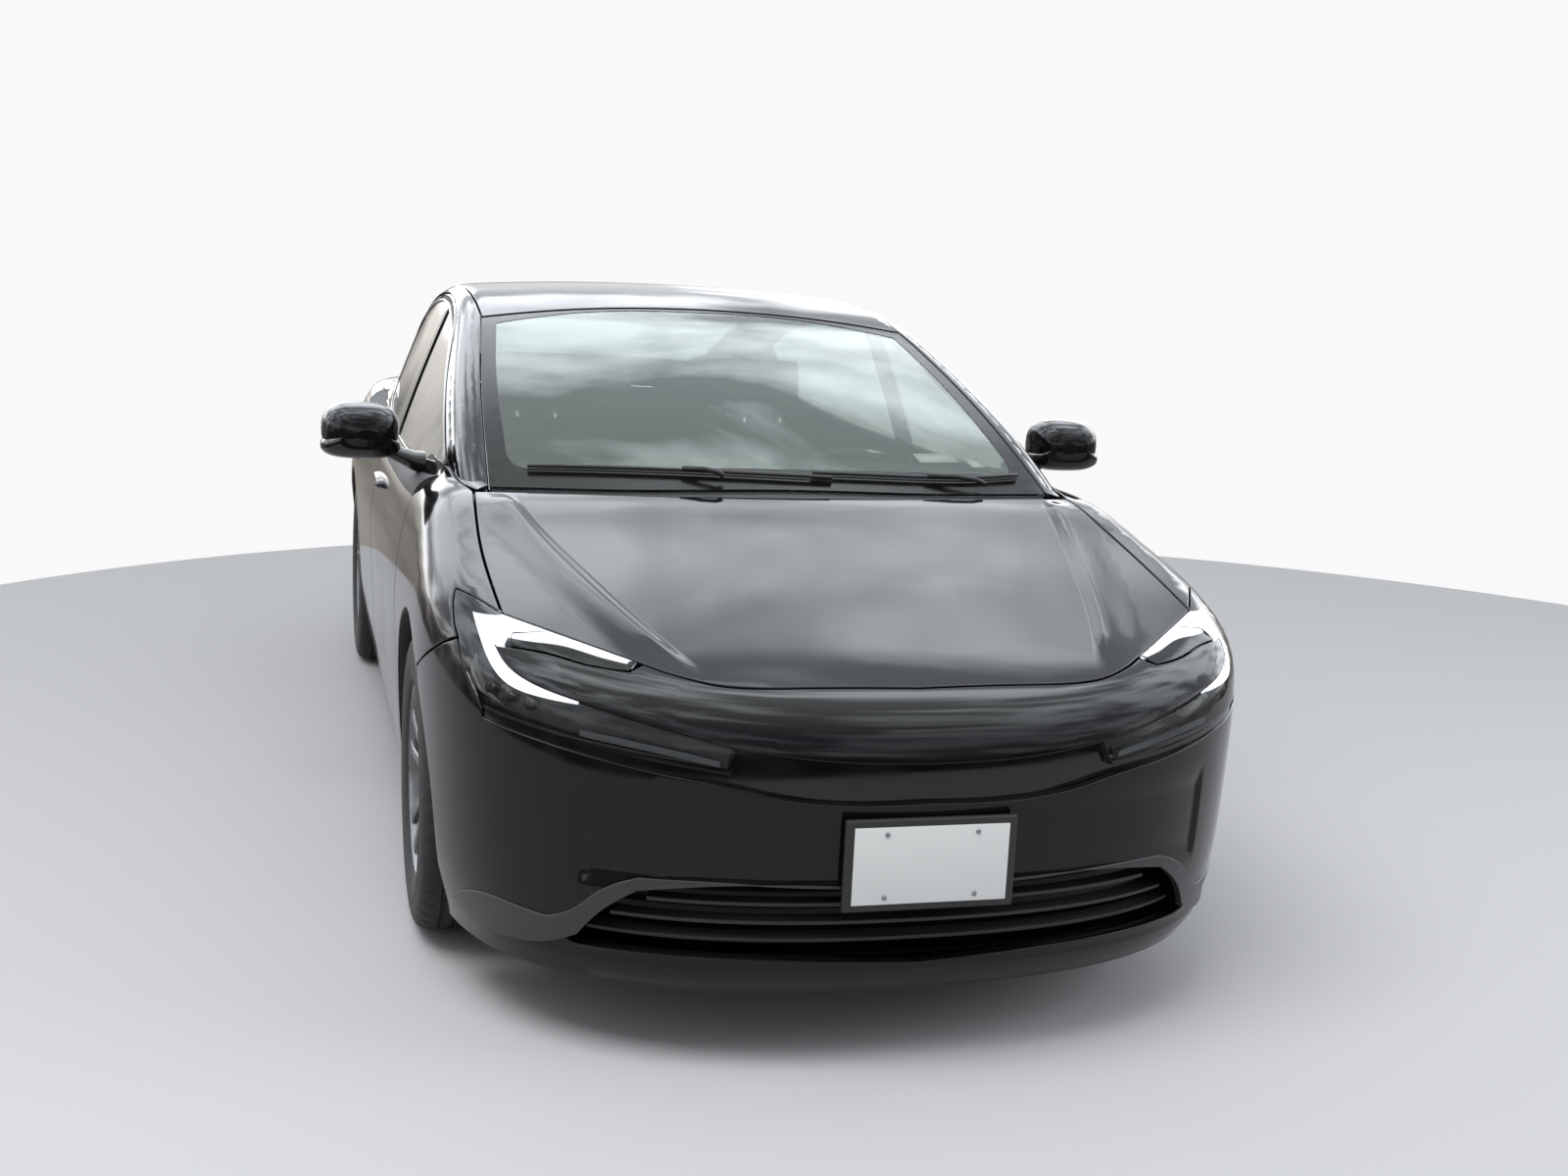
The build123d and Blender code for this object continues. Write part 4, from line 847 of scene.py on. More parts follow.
sheet("front_bumper_skin", "nose", face_runs, paint, face_shape, "root", "paint", "front_bumper",
      holes=(intake,), extra=corner_creases + lip_creases)

# ---------------- headlamps: lens, bowl, C-shaped light, projectors
lamp_runs = [
    *views("nose", back(arm_low), back(lamp_black), [lip_line[-1], lens_low[-1]], back(lens_low)),
    *views("nose", back(lamp_edge_low), back(lamp_edge_high)), *views("plan", back(lamp_top), back(hood_arm)),
]


def lamp_sheet(name, runs, material, depth, step=5.0, **sizes):
    """A sheet of the headlamps at its depth under the nose."""
    sheet(name, "nose", runs, material, over(lower_shape, depth), "root", "lamp", "headlamps",
          loop=border, step=step, **sizes)


def under_lens(name, material, depth, thick, *runs):
    """A raised shape under the lens with a rounded border and its own sides."""
    lamp_sheet(name, legs("nose", *runs), material, depth, gap=0, radius=1.0, flange=thick, grid=16)


lamp_sheet("lamp_lens", lamp_runs, lens, 0, gap=1.4, radius=1.2, flange=4, grid=20)
lamp_sheet("lamp_bowl", lamp_runs, lamp_bowl, 26, 8.0, gap=-6, radius=1, flange=-22, grid=26)
under_lens(
    "lamp_light", white_light, 7.0, 3.5,
    [(992, 806), (930, 780), (862, 742), (800, 711), (735, 700), (650, 696)], [(652, 701)],
    [(748, 723), (800, 741), (845, 763), (862, 781)], [(755, 774), (672, 763), (612, 756)], [(614, 760)],
    [(687, 773), (785, 790), (900, 803), (992, 806)],
)
under_lens(
    "turn_strip", dull_lens, 10.0, 14.0,
    [(640, 652), (500, 636), (392, 617)], [(392, 605)], [(500, 624), (640, 640)], [(640, 652)],
)
under_lens("lamp_wedge", alloy, 14.0, 12.0, [(905, 748), (860, 700), (800, 668)], [(905, 690)], [(905, 748)])
for k, turn_at in enumerate(((838, 694), (790, 688), (742, 682))):
    spot = lift("nose", [turn_at], over(lower_shape, 20))[0]
    bezel = ball_at("projector_bezel_%d" % k, spot + [0, 6, 0], 17, dark_alloy, (1, 0.6, 0.82))
    eye = ball_at("projector_%d" % k, spot + [0, -5, 0], 11, gloss, (1, 0.8, 1))
    both(bezel, "root", "lamp", "headlamps")
    both(eye, "root", "lamp", "headlamps")

# ---------------- intake, plates and rear bumper
garnish_runs = legs(
    "nose", [(0, 372), (444, 375), (524, 363)], [(585, 317), (640, 254)],
    [(700, 226), (800, 208), (960, 214)], [(1004, 222)], [(930, 262), (844, 284), (770, 284), (700, 280)],
    [(650, 303), (607, 341), (565, 371), (524, 386)], [(444, 388), (200, 382), (0, 381)],
)
sheet("garnish", "nose", garnish_runs, satin, over(face_shape, -4), "root", "black_plastic",
      step=6.0, gap=0, radius=2.0, flange=12, grid=20)
cavity_runs = legs("nose", [(0, 200), (680, 200)], [(680, 330)], [(500, 400)], [(0, 400)])
sheet("intake_back", "nose", cavity_runs, frit, over(lower_shape, 75), "root", "black_plastic",
      gap=0, radius=1, flange=-62)
for k, (level, reach) in enumerate(((338, 520), (300, 590), (262, 640))):
    low, high = level - 4, level + 4
    slat_runs = legs("nose", [(0, low), (reach, low)], [(reach, high)], [(0, high)])
    sheet("intake_slat_%d" % k, "nose", slat_runs, trim, over(lower_shape, 30), "root", "black_plastic",
          "lower_grille", gap=0, radius=1.5, flange=26, grid=12)

on(block("plate_frame", (0, -4, FRONT_PLATE), (PLATE_FRAME_WIDE, 14, 176), trim, 4))
on(block("plate_blank", (0, -12, FRONT_PLATE), (PLATE_WIDE, 2.4, PLATE_HIGH), pale, 1))
for x in (-PLATE_SCREW[0], PLATE_SCREW[0]):
    for z in (-PLATE_SCREW[1], PLATE_SCREW[1]):
        on(ball_at("plate_screw", (x, -14, FRONT_PLATE + z), 5, steel, (1, 0.5, 1), 12))

tail_runs = [
    ("tail", [(0, SKIRT), (1056.8, SKIRT)]),
    *views("side", arch_run(REAR_AXLE, REAR_ARCH, -29, 57.1), back(quarter_low), back(quarter_back)),
    ("tail", back(corner_ledge)), *gate_low,
]
sheet("rear_bumper_skin", "tail", tail_runs, paint, lower_shape, "root", "paint", "rear_bumper")

# ---------------- doors
front_loop = border(
    ("side", [(FRONT_CUT, DOOR_SILL), (SEAM, DOOR_SILL)]), cut_line(sill_seam, top_seam),
    ("side", top_run(SEAM, FRONT_CUT, 8)), cut_line(top_front, sill_front),
)
rear_loop = border(
    *views("side", [(SEAM, DOOR_SILL), (DOOR_END, DOOR_SILL)], rear_edge, top_run(FRAME_END, SEAM, 8)),
    cut_line(top_seam, sill_seam), step=5.0,
)
for end, loop, opening in (("front", front_loop, front_glass), ("rear", rear_loop, rear_glass)):
    door = panel(end + "_door_skin_left", "lean", [loop, border(*opening)], paint, body_shape, gap=2.6)
    both(door, "%s_door_SIDE_leaf" % end, "paint", "%s_door_SIDE" % end)


# ---------------- glass
def pane(name, kind, runs, material, depth, gap, radius, flange, loop=across):
    """One face of a glass at its depth under the cabin's shape; the inner face looks inwards."""
    skin = over(upper_shape, depth)
    made = panel(name, kind, [loop(*runs, shape=skin)], material, skin, gap, radius, flange, 50)
    return inward(made) if depth == GLASS_IN else made


shield_runs = views("plan", shield_low, shield_side, shield_top)
shield = pane("windshield_pane", "plan", shield_runs, glass, 4, 1.5, 1.5, 3)
shield_in = pane("windshield_inside", "plan", shield_runs, glass, GLASS_IN, 1.5, 0.2, 0.5)
border_hole = legs(
    "plan", [(0, 1152), (300, 1164), (560, 1196)], [(618, 1212), (638, 1262)], [(622, 1600), (578, 2030)],
    [(320, 2104), (0, 2118)],
)
for obj in (shield, shield_in):
    on(obj, "root", "glass", "windshield")
sheet("windshield_border", "plan", shield_runs, frit, over(upper_shape, 3.0), "root", "glass", "windshield",
      holes=(border_hole,), gap=1.5, radius=0.3, flange=0.4, grid=40)
on(ball_at("camera_cover", (0, 1806, 1231), 62, satin, (1.35, 0.9, 0.4), 32), "root", "interior")
on(block("inner_mirror_stalk", (0, 1850, 1206), (22, 16, 50), cabin, 5), "root", "interior")
on(block("inner_mirror", (0, 1862, 1176), (236, 26, 62), cabin, 12), "root", "interior")
sticker_shape = over(upper_shape, 8.5)
for k, (x0, s0, x1, s1) in enumerate(((383, 1279, 499, 1232), (524, 1262, 566, 1243))):
    mid = lift("plan", [(x0, s0), (x1, s1)], sticker_shape).mean(axis=0)
    lean = Vector(slope(sticker_shape, mid[None])[0]).to_track_quat("Z", "Y").to_matrix().to_4x4()
    sticker = block("blank_sticker_%d" % k, (0, HALF_LENGTH, 0), (x1 - x0, 46, 0.6), pale, 0)
    sticker.data.transform(Matrix.Translation(placed(mid)) @ lean)
    on(sticker, "root")

for label, depth, radius, flange in (("", 4, 1.0, 3), ("_inside", GLASS_IN, 0.2, 0.5)):
    hatch = pane("hatch_pane" + label, "plan", hatch_glass, side_glass, depth, -1.0, radius, flange)
    on(hatch, "tailgate_lid", "glass", "tailgate_glass")
for end, runs in (("front", front_glass), ("rear", rear_glass)):
    for depth, label in ((5.0, "pane"), (GLASS_IN, "pane_inside")):
        made = pane("%s_door_%s" % (end, label), "lean", runs, side_glass, depth, -3.0, 0.5, 0.5, border)
        both(made, "%s_door_SIDE_leaf" % end, "glass", "%s_door_glass_SIDE" % end)

# ---------------- tail: light bar, corner lamps, plate, diffuser
sheet("tail_light_bar", "gate", light_bar, red, over(body_shape, 1.0), "tailgate_lid",
      "tail_lamp", "tail_lamp_bar", gap=1.5, radius=2, flange=10)
corner_runs = legs(
    "tail", [(632, 918), (760, 930), (840, 948)], [(838, 958)], [(760, 965), (632, 972)], [(632, 918)]
)
sheet("tail_lamp_corner", "tail", corner_runs, red, over(body_shape, -1.5), "root", "tail_lamp", "tail_lamps",
      loop=border, gap=0, radius=2.0, flange=8, grid=20)
tail_s = float(tail(REAR_PLATE))
for name, proud, size, material, bevel in (
    ("rear_plate_frame", 2, (PLATE_FRAME_WIDE, 14, 170), trim, 4),
    ("rear_plate_blank", 10, (PLATE_WIDE, 2.4, PLATE_HIGH), pale, 1),
):
    on(block(name, (0, tail_s + proud, REAR_PLATE), size, material, bevel), "tailgate_lid")
diffuser_runs = legs("tail", [(0, 158), (620, 158)], [(560, 300)], [(0, 330)])
sheet("rear_diffuser", "tail", diffuser_runs, trim, over(lower_shape, -1), "root", "black_plastic",
      gap=0, flange=10, grid=40)

# ---------------- mirrors
cap_rings = []
for s, share, shift in (
    (1557, 0.18, 0), (1560, 0.42, 0), (1568, 0.62, 0), (1584, 0.79, 1),
    (1606, 0.91, 2), (1636, 0.98, 2), (1664, 1.0, 2), (1672, 0.985, 2),
):
    centre = (959 + shift - 14 * (1 - share), s, 1050 - 8 * (1 - share))
    cap_rings.append(oval(centre, (97 * share**0.8, 68 * share), 2.7))
both(lofted("mirror_cap", cap_rings, paint), "front_door_SIDE_leaf", "gloss_black", "mirror_SIDE")


def mirror_part(name, material, power, rows, along=(1, 0, 0)):
    """A part of the mirror through rings of (x, s, z, half width, half height)."""
    rings = [oval(row[:3], row[3:], power, along) for row in rows]
    both(lofted(name, rings, material), "front_door_SIDE_leaf", "gloss_black", "mirror_SIDE")


mirror_part("mirror_rim", gloss, 2.7, [
    (961, 1668, 1050, 96, 67), (961, 1676, 1050, 95, 66),
    (961, 1676, 1050, 88, 59), (961, 1670, 1050, 87, 58),
])
mirror_part("mirror_glass", chrome, 2.7, [(961, 1670.5, 1050, 87, 58), (961, 1673, 1050, 87, 58)])
mirror_part("mirror_lower", gloss, 2.6, [
    (950, 1562, 1026, 64, 20), (957, 1580, 1014, 86, 27), (960, 1620, 1009, 98, 31),
    (961, 1660, 1009, 99, 32), (961, 1673, 1011, 95, 30),
])
mirror_part("mirror_arm", gloss, 2.4, [
    (800, 1644, 966, 46, 30), (826, 1640, 972, 42, 26), (856, 1636, 984, 38, 22), (884, 1634, 996, 36, 20),
    (915, 1632, 1008, 36, 18),
], (0, 1, 0))

# ---------------- wipers
for k, (run, pivot) in enumerate((
    ([(-600, 1186), (-400, 1150), (-200, 1122), (60, 1100), (120, 1098)], (-150, 1088)),
    ([(75, 1116), (220, 1118), (360, 1126), (520, 1152), (636, 1188)], (520, 1112)),
)):
    blade, edge = (lift("plan", course(run, 30), over(upper_shape, -proud)) for proud in (9, 1))
    middle = blade[len(blade) // 2]
    base = lift("plan", [pivot], over(body_shape, -14))[0]
    rise = middle - base
    arm = [base, base + rise * 0.15 + [0, 0, 8], (base + middle) / 2 + [0, 0, 10], middle + [0, 0, 4]]
    for label, path, radius, material in (
        ("blade", blade, 5.0, trim), ("rubber", edge, 2.2, rubber), ("arm", arm, 6.5, trim)
    ):
        on(tube("wiper_%s_%d" % (label, k), path, radius, material), "root", "black_plastic", "wipers")


# ---------------- wheels and tyres, made at the front left
def turned(name, profile, segments, material, relief=None):
    """A profile of (across, radius) turned about the wheel's axle, less a relief by segment and place."""
    rings = []
    for k, a in enumerate(around(segments)):
        cut = [(x, r - relief(k, x, r) if relief else r) for x, r in profile]
        ring = [(x, r * math.cos(a), r * math.sin(a)) for x, r in cut]
        rings.append(ring + np.array([WHEEL_X, FRONT_AXLE, AXLE_LEVEL]))
    faces = ring_faces(len(profile), segments + 1)
    faces = [tuple(i % (segments * len(profile)) for i in face) for face in faces]
    return crisp(closed_mesh(name, np.vstack(rings), faces, material, True))


def fused(name, pieces):
    """Several pieces as one object, with their materials."""
    bpy.ops.object.select_all(action="DESELECT")
    for one in pieces:
        one.select_set(True)
    bpy.context.view_layer.objects.active = pieces[0]
    bpy.ops.object.join()
    pieces[0].name = name
    return pieces[0]


def sipes(k, x, r):
    """Depth of the cuts across the tread by segment and place."""
    wide = abs(x)
    if r < 318:
        return 0.0
    if 52 < wide < 92:
        return 4.0 if k % 5 == (0 if x > 0 else 2) else 0.0
    if 20 < wide < 41:
        return 2.6 if k % 5 == 3 else 0.0
    return 1.6 if wide < 10 and k % 10 == 5 else 0.0


side_wall = [(84, 215), (89, 219), (91.5, 226), (93, 227), (96.5, 240), (99, 252), (99.8, 262), (99.6, 272)]
side_wall += [(98.6, 273), (98.8, 286), (97, 299), (93.5, 311), (88, 320), (80, 326), (70, 329.6)]
ribs = [(60, 331.2), (52, 332), (49, 325), (43, 325), (40, 332.4), (30, 332.8), (22, 333)]
half_tyre = side_wall + ribs + [(19, 326), (12, 326), (9, 333), (0, 333)]
tyre_profile = half_tyre + [(-x, r) for x, r in half_tyre[-2::-1]] + [(-82, 207), (82, 207)]
tyre = turned("tyre_skin", tyre_profile, 240, rubber, sipes)
rim_profile = [(83, 207), (84.5, 214), (86, 218), (87, 214), (86, 208), (80, 204), (72, 201)]
rim_profile += [(60, 197), (20, 190), (-40, 188), (-66, 197), (-80, 203), (-84, 210)]
rim_profile += [(-84, 218), (-82, 209), (-66, 203), (-40, 194), (20, 196), (60, 203)]
hub_profile = [(66, 0), (66, 24), (64, 27), (60, 28), (60, 31), (66, 33), (68, 44)]
hub_profile += [(66, 60), (58, 68), (40, 70), (24, 64), (0, 62), (0, 0)]
disc_profile = [(-5, 64), (-5, 137), (-6, 138), (-11, 138), (-12, 130), (-16, 130), (-17, 138), (-22, 138)]
disc_profile += [(-23, 137), (-23, 64)]
bell_profile = [(0, 30), (0, 60), (-5, 66), (-12, 70), (-22, 70), (-22, 60), (-12, 30)]
wheel_pieces = [
    turned("rim_barrel", rim_profile, 128, alloy),
    turned("wheel_hub", hub_profile, 72, alloy),
    turned("centre_cap", [(63, 0), (69, 6), (69, 20), (67, 26), (60, 27.5), (58, 0)], 48, dark_alloy),
    turned("brake_disc", disc_profile, 96, steel),
    turned("brake_bell", bell_profile, 72, cast),
]


def spoke(k, sign):
    """One of a pair of spokes, as rings from the hub out to the rim."""
    angle = math.radians(90 + 72 * k + 13 * sign)
    out = np.array([0, math.cos(angle), math.sin(angle)])
    turn = np.array([0, -math.sin(angle), math.cos(angle)])
    flank_line = [(0.38, 0), (0.55, -0.12), (0.62, -0.55), (0.5, -1)]
    corners = [(-u, v) for u, v in back(flank_line)] + flank_line
    rings = []
    for r, wide, front, deep, drift in (
        (34, 32, 62, 40, -3), (60, 31, 66, 40, -2), (95, 27, 71, 36, 0), (135, 23, 76, 30, 0),
        (170, 22, 80, 27, 0), (192, 26, 82.5, 26, 0), (205, 40, 83, 24, 0),
    ):
        middle = np.array([WHEEL_X + front, FRONT_AXLE, AXLE_LEVEL]) + out * r + turn * drift * sign
        rings.append(np.array([middle + turn * u * wide + [v * deep, 0, 0] for u, v in corners]))
    return crisp(lofted("spoke", rings, alloy), 28)


wheel_pieces += [spoke(k, sign) for k in range(5) for sign in (-1, 1)]
for k in range(5):
    a = math.radians(90 + 36 + 72 * k)
    nut = turned("lug_nut", [(57, 0), (69, 0), (69, 8.5), (57, 9.5)], 6, steel)
    nut.data.transform(Matrix.Translation((0, 48 * math.cos(a) * MM, 48 * math.sin(a) * MM)))
    wheel_pieces.append(nut)
wheel = fused("wheel_dress", wheel_pieces)
for end, shift in (("front", 0), ("rear", REAR_AXLE - FRONT_AXLE)):
    for source, part in ((wheel, "wheel"), (tyre, "tyre")):
        made = source
        if shift:
            made = add_object("rear_" + source.name, source.data.copy())
            made.data.transform(Matrix.Translation((0, shift * MM, 0)))
        both(made, "%s_wheel_SIDE" % end, part, "%s_%s_SIDE" % (part, end))


# ---------------- seats
def crowding(count):
    """Even shares from -1 to 1, drawn together towards the ends."""
    shares = np.linspace(-1, 1, count)
    return np.sign(shares) * (1 - (1 - np.abs(shares)) ** 1.5)


def cushion(
    name, base, along_way, normal, size, node,
    bolster=0.0, seams=(), panel_seam=None, crown=1.0, count=(44, 44),
):
    """A crowned cushion of (width, length, thickness) on a plane; base is the middle of its back face."""
    along_way, normal = unit(np.array(along_way, float)), unit(np.array(normal, float))
    wide, long, thick = size
    nx, ny = count

    def height(u, v, edge):
        """How far the front face stands over the back face at shares of the half sizes."""
        h = thick * (0.34 + 0.62 * edge)
        h += crown * 10 * math.cos(u * math.pi / 2) * math.cos(v * math.pi / 2)
        h += bolster * math.exp(-(((abs(u) - 0.82) / 0.13) ** 2)) * edge
        for s in seams:
            h -= 7 * math.exp(-(((v - s) / 0.022) ** 2)) * (1 if abs(u) < 0.62 else 0.2)
        return h - (8 * math.exp(-(((abs(u) - panel_seam) / 0.028) ** 2)) if panel_seam else 0)

    points = []
    for front in (True, False):
        for v in crowding(ny):
            for u in crowding(nx):
                edge = ((1 - abs(u) ** 5) * (1 - abs(v) ** 5)) ** 0.42
                x = u * (1 - 0.018 * (1 - u * u) * abs(v) ** 4) * wide / 2
                y = v * (1 - 0.018 * (1 - v * v) * abs(u) ** 4) * long / 2
                h = height(u, v, edge) if front else thick * 0.34 * (1 - edge)
                points.append(base + np.array([1.0, 0, 0]) * x + along_way * y + normal * h)
    n = nx * ny
    faces = []
    for a in (j * nx + i for j in range(ny - 1) for i in range(nx - 1)):
        faces.append((a, a + 1, a + nx + 1, a + nx))
        faces.append((n + a, n + a + nx, n + a + nx + 1, n + a + 1))
    rim = [*range(nx)] + [j * nx + nx - 1 for j in range(1, ny)]
    rim += [(ny - 1) * nx + i for i in range(nx - 2, -1, -1)] + [j * nx for j in range(ny - 2, 0, -1)]
    faces += [(a, n + a, n + b, b) for a, b in zip(rim, rim[1:] + rim[:1])]
    obj = on(closed_mesh(name, points, faces, cloth), "root", "fabric", node)


for x, tag in ((-370, "right"), (370, "left")):
    cushion("seat_cushion_" + tag, (x, 2195, 330), (0, 1, -0.1), (0, 0.1, 1), (496, 486, 142), "front_seats",
            26, (-0.35, 0.1, 0.55), 0.62)
    cushion("seat_back_" + tag, (x, 2612, 690), (0, 0.31, 0.95), (0, -0.95, 0.31), (490, 620, 118),
            "front_seats", 30, (-0.5, -0.15, 0.2, 0.6), 0.62)
    cushion("head_rest_" + tag, (x, 2742, 1108), (0, 0.2, 0.98), (0, -0.98, 0.2), (250, 168, 88),
            "front_seats", count=(28, 28))
    for dx in (-60, 60):
        post = tube("head_rest_post", [(x + dx, 2665, 960), (x + dx, 2700, 1060)], 6, chrome)
        on(post, "root", "interior", "front_seats")
    for dx in (-190, 190):
        on(block("seat_rail", (x + dx, 2210, 275), (38, 430, 110), cabin, 6), "root", "interior",
            "front_seats")
cushion("rear_cushion", (0, 3140, 392), (0, 1, -0.06), (0, 0.06, 1), (916, 556, 122), "rear_seat",
        0, (-0.1,), 0.34, count=(64, 40))
cushion("rear_back", (0, 3520, 720), (0, 0.29, 0.957), (0, -0.957, 0.29), (926, 560, 110), "rear_seat",
        0, (-0.3, 0.35), 0.34, count=(64, 40))
for k, x in enumerate((-320, 0, 320)):
    cushion("rear_head_rest_%d" % k, (x, 3655, 1028), (0, 0.22, 0.975), (0, -0.975, 0.22), (236, 108, 70),
            "rear_seat", crown=0.6, count=(24, 24))
    for dx in (-50, 50):
        post = tube("rear_head_post", [(x + dx, 3610, 960), (x + dx, 3628, 1030)], 5, chrome)
        on(post, "root", "interior", "rear_seat")

# ---------------- dashboard: a swept pad, displays, console and vents
PAD_HALF = 698
dash_line = [(1362, 872), (1400, 920), (1470, 926), (1560, 908), (1625, 872), (1650, 838)]
dash_line += [(1640, 780), (1618, 700), (1560, 640), (1480, 562), (1362, 562)]
rings = []
for x in np.linspace(-PAD_HALF, PAD_HALF, 29):
    share = abs(x) / PAD_HALF
    rings.append(np.array([(x, s - 46 * share**3 * (s > 1500), z - 6 * share**2) for s, z in dash_line]))
on(crisp(lofted("dash_pad", rings, cabin), 40), "root", "interior", "dashboard")
for name, centre, size, material, bevel, nodes in (
    ("dash_display", (0, 1648, 905), (290, 12, 160), gloss, 5, ()),
    ("driver_display", (370, 1560, 942), (250, 60, 66), gloss, 16, ()),
    ("console", (0, 2110, 345), (206, 740, 250), cabin, 22, ("dashboard",)),
    ("console_front", (0, 1620, 440), (200, 400, 400), cabin, 26, ("dashboard",)),
    ("console_lid", (0, 2330, 482), (180, 240, 26), cloth, 12, ()),
):
    on(block(name, centre, size, material, bevel), "root", "interior", *nodes)
for x, station in ((-600, 1602), (-180, 1636), (180, 1636), (600, 1602)):
    on(block("dash_vent", (x, station, 846), (120, 22, 30), gloss, 6), "root", "interior")

# ---------------- steering wheel and column
GRIP_TURN, GRIP_RADIUS = 182, 14
column = unit(np.array([0, 0.9, 0.42]))
wheel_up = np.array([0, -column[2], column[1]])
wheel_right = np.array([1.0, 0, 0])
hub = np.array([370.0, 1840.0, 835.0])
rings = []
for a in around(72):
    out = math.cos(a) * wheel_right + math.sin(a) * wheel_up
    outward = [math.cos(b) * out + math.sin(b) * column for b in around(16)]
    rings.append(np.array([hub + GRIP_TURN * out + GRIP_RADIUS * way for way in outward]))
grip = lofted("steering_grip", rings + rings[:1], cabin, closed_ends=False)
on(grip, "steering", "interior", "steering_wheel")
rings = []
for h, w in ((-26, 40), (-20, 62), (-2, 74), (14, 70), (22, 52)):
    ring = [(signed_power(math.cos(a), 0.7), 0.82 * signed_power(math.sin(a), 0.7)) for a in around(36)]
    rings.append(np.array([hub + h * column + w * (u * wheel_right + v * wheel_up) for u, v in ring]))
on(lofted("steering_pad", rings, cabin), "steering", "interior", "steering_wheel")
for way in (wheel_right, -wheel_right, -wheel_up):
    cross_way = np.cross(way, column)
    corners = ((-1, -8), (1, -8), (1, 8), (-1, 8))
    rings = [
        np.array([hub + way * d + cross_way * (c * w) + column * h for c, h in corners])
        for d, w in ((40, 24), (110, 17), (172, 13))
    ]
    on(crisp(lofted("steering_spoke", rings, satin)), "steering", "interior", "steering_wheel")
tube_path = [hub - column * 52, hub - column * 232]
on(tube("steering_column", tube_path, 37, cabin, 28), "root", "interior", "dashboard")

# ---------------- door handles
for end, middle, level in (("front", 2290, 842), ("rear", 3170, 862)):
    rings = []
    for proud, grow in ((-3, 1.0), (9, 1.0), (15, 0.93), (18, 0.8)):
        ring = []
        for a in around(40):
            u = signed_power(math.cos(a), 0.62) * 104 * grow
            v = signed_power(math.sin(a), 0.8) * 15 * grow
            ring.append((middle + u, level + v + 0.03 * u))
        rings.append(lift("side", ring, over(body_shape, -proud)))
    both(lofted("%s_door_handle" % end, rings, gloss), "%s_door_SIDE_leaf" % end, "gloss_black")


# ---------------- what lies behind the skins, and the plain nodes
def backing(node, body, material, depth=4.0):
    """The solid behind a skin, drawn in by a little so that it stays under it."""
    source = bpy.data.objects[node]
    mesh = source.data.copy()
    fresh = bmesh.new()
    fresh.from_mesh(mesh)
    bmesh.ops.remove_doubles(fresh, verts=fresh.verts, dist=2e-5)
    fresh.normal_update()
    moves = [v.normal * depth * MM for v in fresh.verts]
    for v, move in zip(fresh.verts, moves):
        v.co -= move
    fresh.to_mesh(mesh)
    fresh.free()
    mesh.materials.clear()
    mesh.polygons.foreach_set("material_index", [0] * len(mesh.polygons))
    obj = add_object(node + "_inside", mesh, material)
    obj.matrix_world = source.matrix_world.copy()
    on(crisp(obj, 30), body, None, node)


for which in ("left", "right"):
    backing("body_side_" + which, "root", gloss, 6.0)
    for end in ("front", "rear"):
        backing("%s_door_%s" % (end, which), "%s_door_%s_leaf" % (end, which), cabin)
backing("tailgate", "tailgate_lid", cabin, 9.0)
backing("hood", "hood_lid", gloss)


def arch_seal(name, axle, radius, start, end, node):
    """A strip round an arch that closes the line between the wheel liner and the skin."""
    rings = []
    for low, high in zip(arch_run(axle, radius - 5, start, end), arch_run(axle, radius + 3, start, end)):
        outer = lift("side", [low, high], over(body_shape, 4.0))
        rings.append(np.vstack([outer, outer[::-1] - [45.0, 0, 0]]))
    both(lofted(name, rings, well_lining), "root", "black_plastic", node)


arch_seal("front_arch_seal", FRONT_AXLE, FRONT_ARCH, -28, 208, "fenders")
arch_seal("rear_arch_seal", REAR_AXLE, REAR_ARCH, -29, 209, "body_side_SIDE")

for material, nodes in (
    (trim, ("floor_pan", "wheel_liners", "cowl_panel", "hybrid_battery")),
    (cast, ("engine", "front_subframe", "rear_axle", "knuckle_left", "knuckle_right")),
    (steel, ("exhaust",)),
):
    for node in nodes:
        mesh = bpy.data.objects[node].data
        for k in range(len(mesh.materials)):
            mesh.materials[k] = material
        if not len(mesh.materials):
            mesh.materials.append(material)

# ---------------- camera
VIEW_TURN, VIEW_RISE, VIEW_TILT = (math.radians(v) for v in (15.353818, -10.215935, 2.704248))
VIEW_PLACE = (-1.17418211, -5.27875732, 1.49937661)
scene = bpy.context.scene
camera_data = bpy.data.cameras.new("camera")
camera = bpy.data.objects.new("camera", camera_data)
scene.collection.objects.link(camera)
scene.camera = camera
ground_way = Vector((math.sin(VIEW_TURN), math.cos(VIEW_TURN), 0)) * math.cos(VIEW_RISE)
forward = ground_way + Vector((0, 0, math.sin(VIEW_RISE)))
level_right = Vector((math.cos(VIEW_TURN), -math.sin(VIEW_TURN), 0))
level_up = level_right.cross(forward)
right = level_right * math.cos(VIEW_TILT) + level_up * math.sin(VIEW_TILT)
upward = level_up * math.cos(VIEW_TILT) - level_right * math.sin(VIEW_TILT)
camera.matrix_world = Matrix.Translation(VIEW_PLACE) @ Matrix((right, upward, -forward)).transposed().to_4x4()
camera_data.sensor_width = 36
camera_data.lens = 41.10246
camera_data.shift_x = 0.017504375
camera_data.shift_y = 0.0011425
camera_data.clip_end = 200
scene.render.resolution_x, scene.render.resolution_y = 1600, 1200
scene.view_settings.view_transform = "Standard"

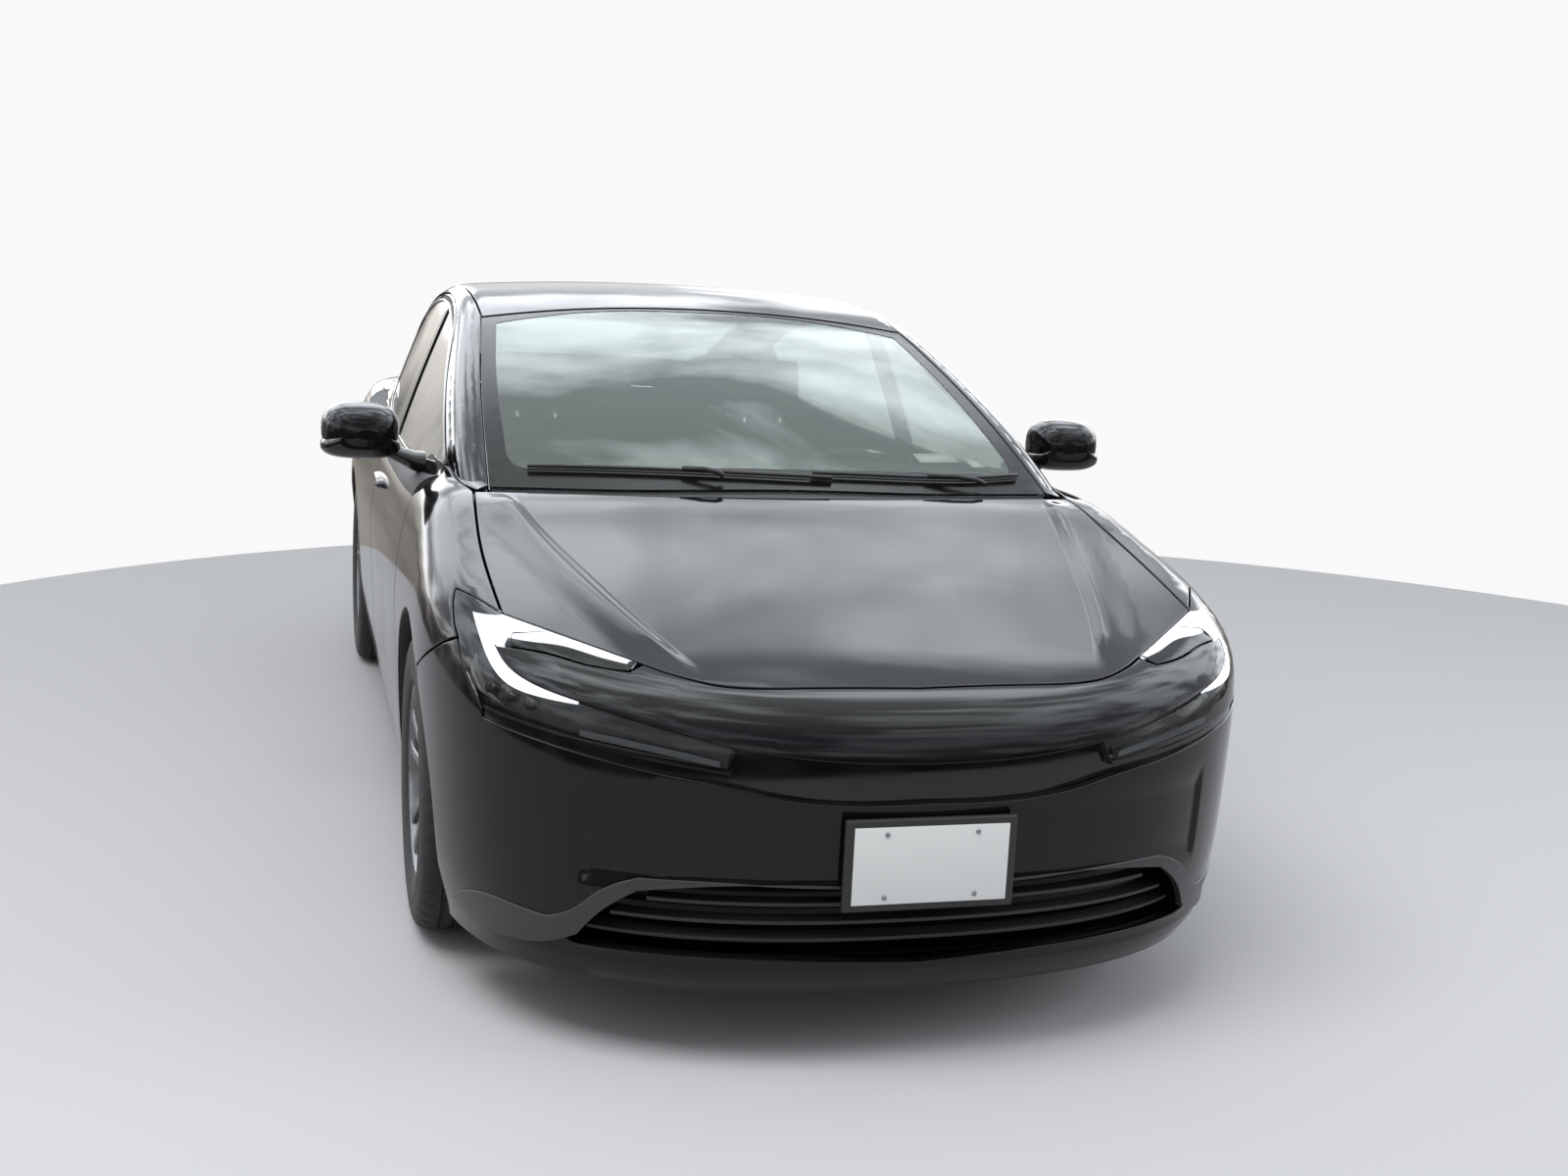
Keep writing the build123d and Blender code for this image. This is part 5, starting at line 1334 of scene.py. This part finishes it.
# ---------------- world: plain to the eye, clouds in reflections, soft light for the rest
world = bpy.data.worlds.new("world")
scene.world = world
world.use_nodes = True
tree = world.node_tree
tree.nodes.clear()
out = add_node(tree, "OutputWorld")
plain = add_node(tree, "Background", Color=(0.95, 0.95, 0.95, 1), Strength=1.0)
soft = add_node(tree, "Background", Color=(0.93, 0.96, 1.0, 1), Strength=0.62)
sky = add_node(tree, "Background")
where = add_node(tree, "TexCoord")
parts = add_node(tree, "SeparateXYZ")
ramp = add_node(tree, "ValToRGB")
ends = ramp.color_ramp.elements
ends[0].position, ends[0].color = 0.0, (0.022, 0.020, 0.019, 1)
ends[1].position, ends[1].color = 1.0, (0.5, 0.53, 0.54, 1)
for place, tone in (
    (0.44, (0.03, 0.028, 0.026)), (0.515, (0.09, 0.085, 0.08)), (0.55, (0.30, 0.305, 0.31)),
    (0.62, (0.36, 0.37, 0.38)), (0.72, (0.26, 0.275, 0.29)),
    (0.84, (0.30, 0.32, 0.34)), (0.93, (0.42, 0.45, 0.46)),
):
    ends.new(place).color = (*tone, 1)
height_share = add_node(tree, "MapRange", From_Min=-1.0, From_Max=1.0)
stretch = add_node(tree, "Mapping", Scale=(1.0, 1.5, 1.3), Location=(0.35, 0.2, 0.1))
clouds = add_node(tree, "TexNoise", Scale=3.1, Detail=9, Roughness=0.52, Distortion=0.35)
contrast = add_node(tree, "MapRange", From_Min=0.44, From_Max=0.60, To_Min=0.5, To_Max=1.9)
dim_front = add_node(tree, "MapRange", From_Min=-0.7, From_Max=0.2, To_Min=0.3, To_Max=1.0)
product = add_node(tree, "MixRGB", Fac=1.0)
product.blend_type = "MULTIPLY"
power = add_node(tree, "Math")
power.operation = "MULTIPLY"
power.inputs[1].default_value = 7.0
ray = add_node(tree, "LightPath")
reflected = add_node(tree, "MixShader")
seen = add_node(tree, "Math")
seen.operation = "MAXIMUM"
mixed = add_node(tree, "MixShader")
wire(
    tree,
    (where, "Generated", parts, "Vector"), (parts, "Z", height_share, "Value"),
    (height_share, "Result", ramp, "Fac"),
    (where, "Generated", stretch, "Vector"), (stretch, "Vector", clouds, "Vector"),
    (clouds, "Fac", contrast, "Value"),
    (ramp, "Color", product, "Color1"), (contrast, "Result", product, "Color2"),
    (product, "Color", sky, "Color"),
    (parts, "Y", dim_front, "Value"), (dim_front, "Result", power, 0), (power, "Value", sky, "Strength"),
    (ray, "Is Glossy Ray", reflected, "Fac"), (soft, "Background", reflected, 1),
    (sky, "Background", reflected, 2),
    (ray, "Is Camera Ray", seen, 0), (ray, "Is Transmission Ray", seen, 1), (seen, "Value", mixed, "Fac"),
    (reflected, "Shader", mixed, 1), (plain, "Background", mixed, 2), (mixed, "Shader", out, "Surface"),
)

# ---------------- floor and lights
bpy.ops.mesh.primitive_circle_add(vertices=256, radius=4.75, fill_type="NGON", location=(1.2, -0.3, -0.001))
floor = bpy.context.object
floor.name = "floor"
floor.data.materials.append(floor_stuff)
floor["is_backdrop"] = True


def area_light(name, place, aim, size, power, tone=(1, 1, 1)):
    """A soft rectangle of light, out of sight to the camera and in reflections."""
    data = bpy.data.lights.new(name, "AREA")
    data.shape = "RECTANGLE"
    data.size, data.size_y = size
    data.energy = power
    data.color = tone
    obj = bpy.data.objects.new(name, data)
    scene.collection.objects.link(obj)
    obj.location = place
    obj.rotation_euler = (Vector(aim) - Vector(place)).to_track_quat("-Z", "Y").to_euler()
    obj.visible_camera = False
    obj.visible_glossy = False


area_light("key", (-2.5, -3.5, 6.0), (0, 0, 0.6), (5.0, 3.0), 350)
area_light("fill", (5.5, -4.0, 3.5), (0, -0.5, 0.6), (3.0, 3.0), 120, (0.95, 0.97, 1))

low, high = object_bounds()
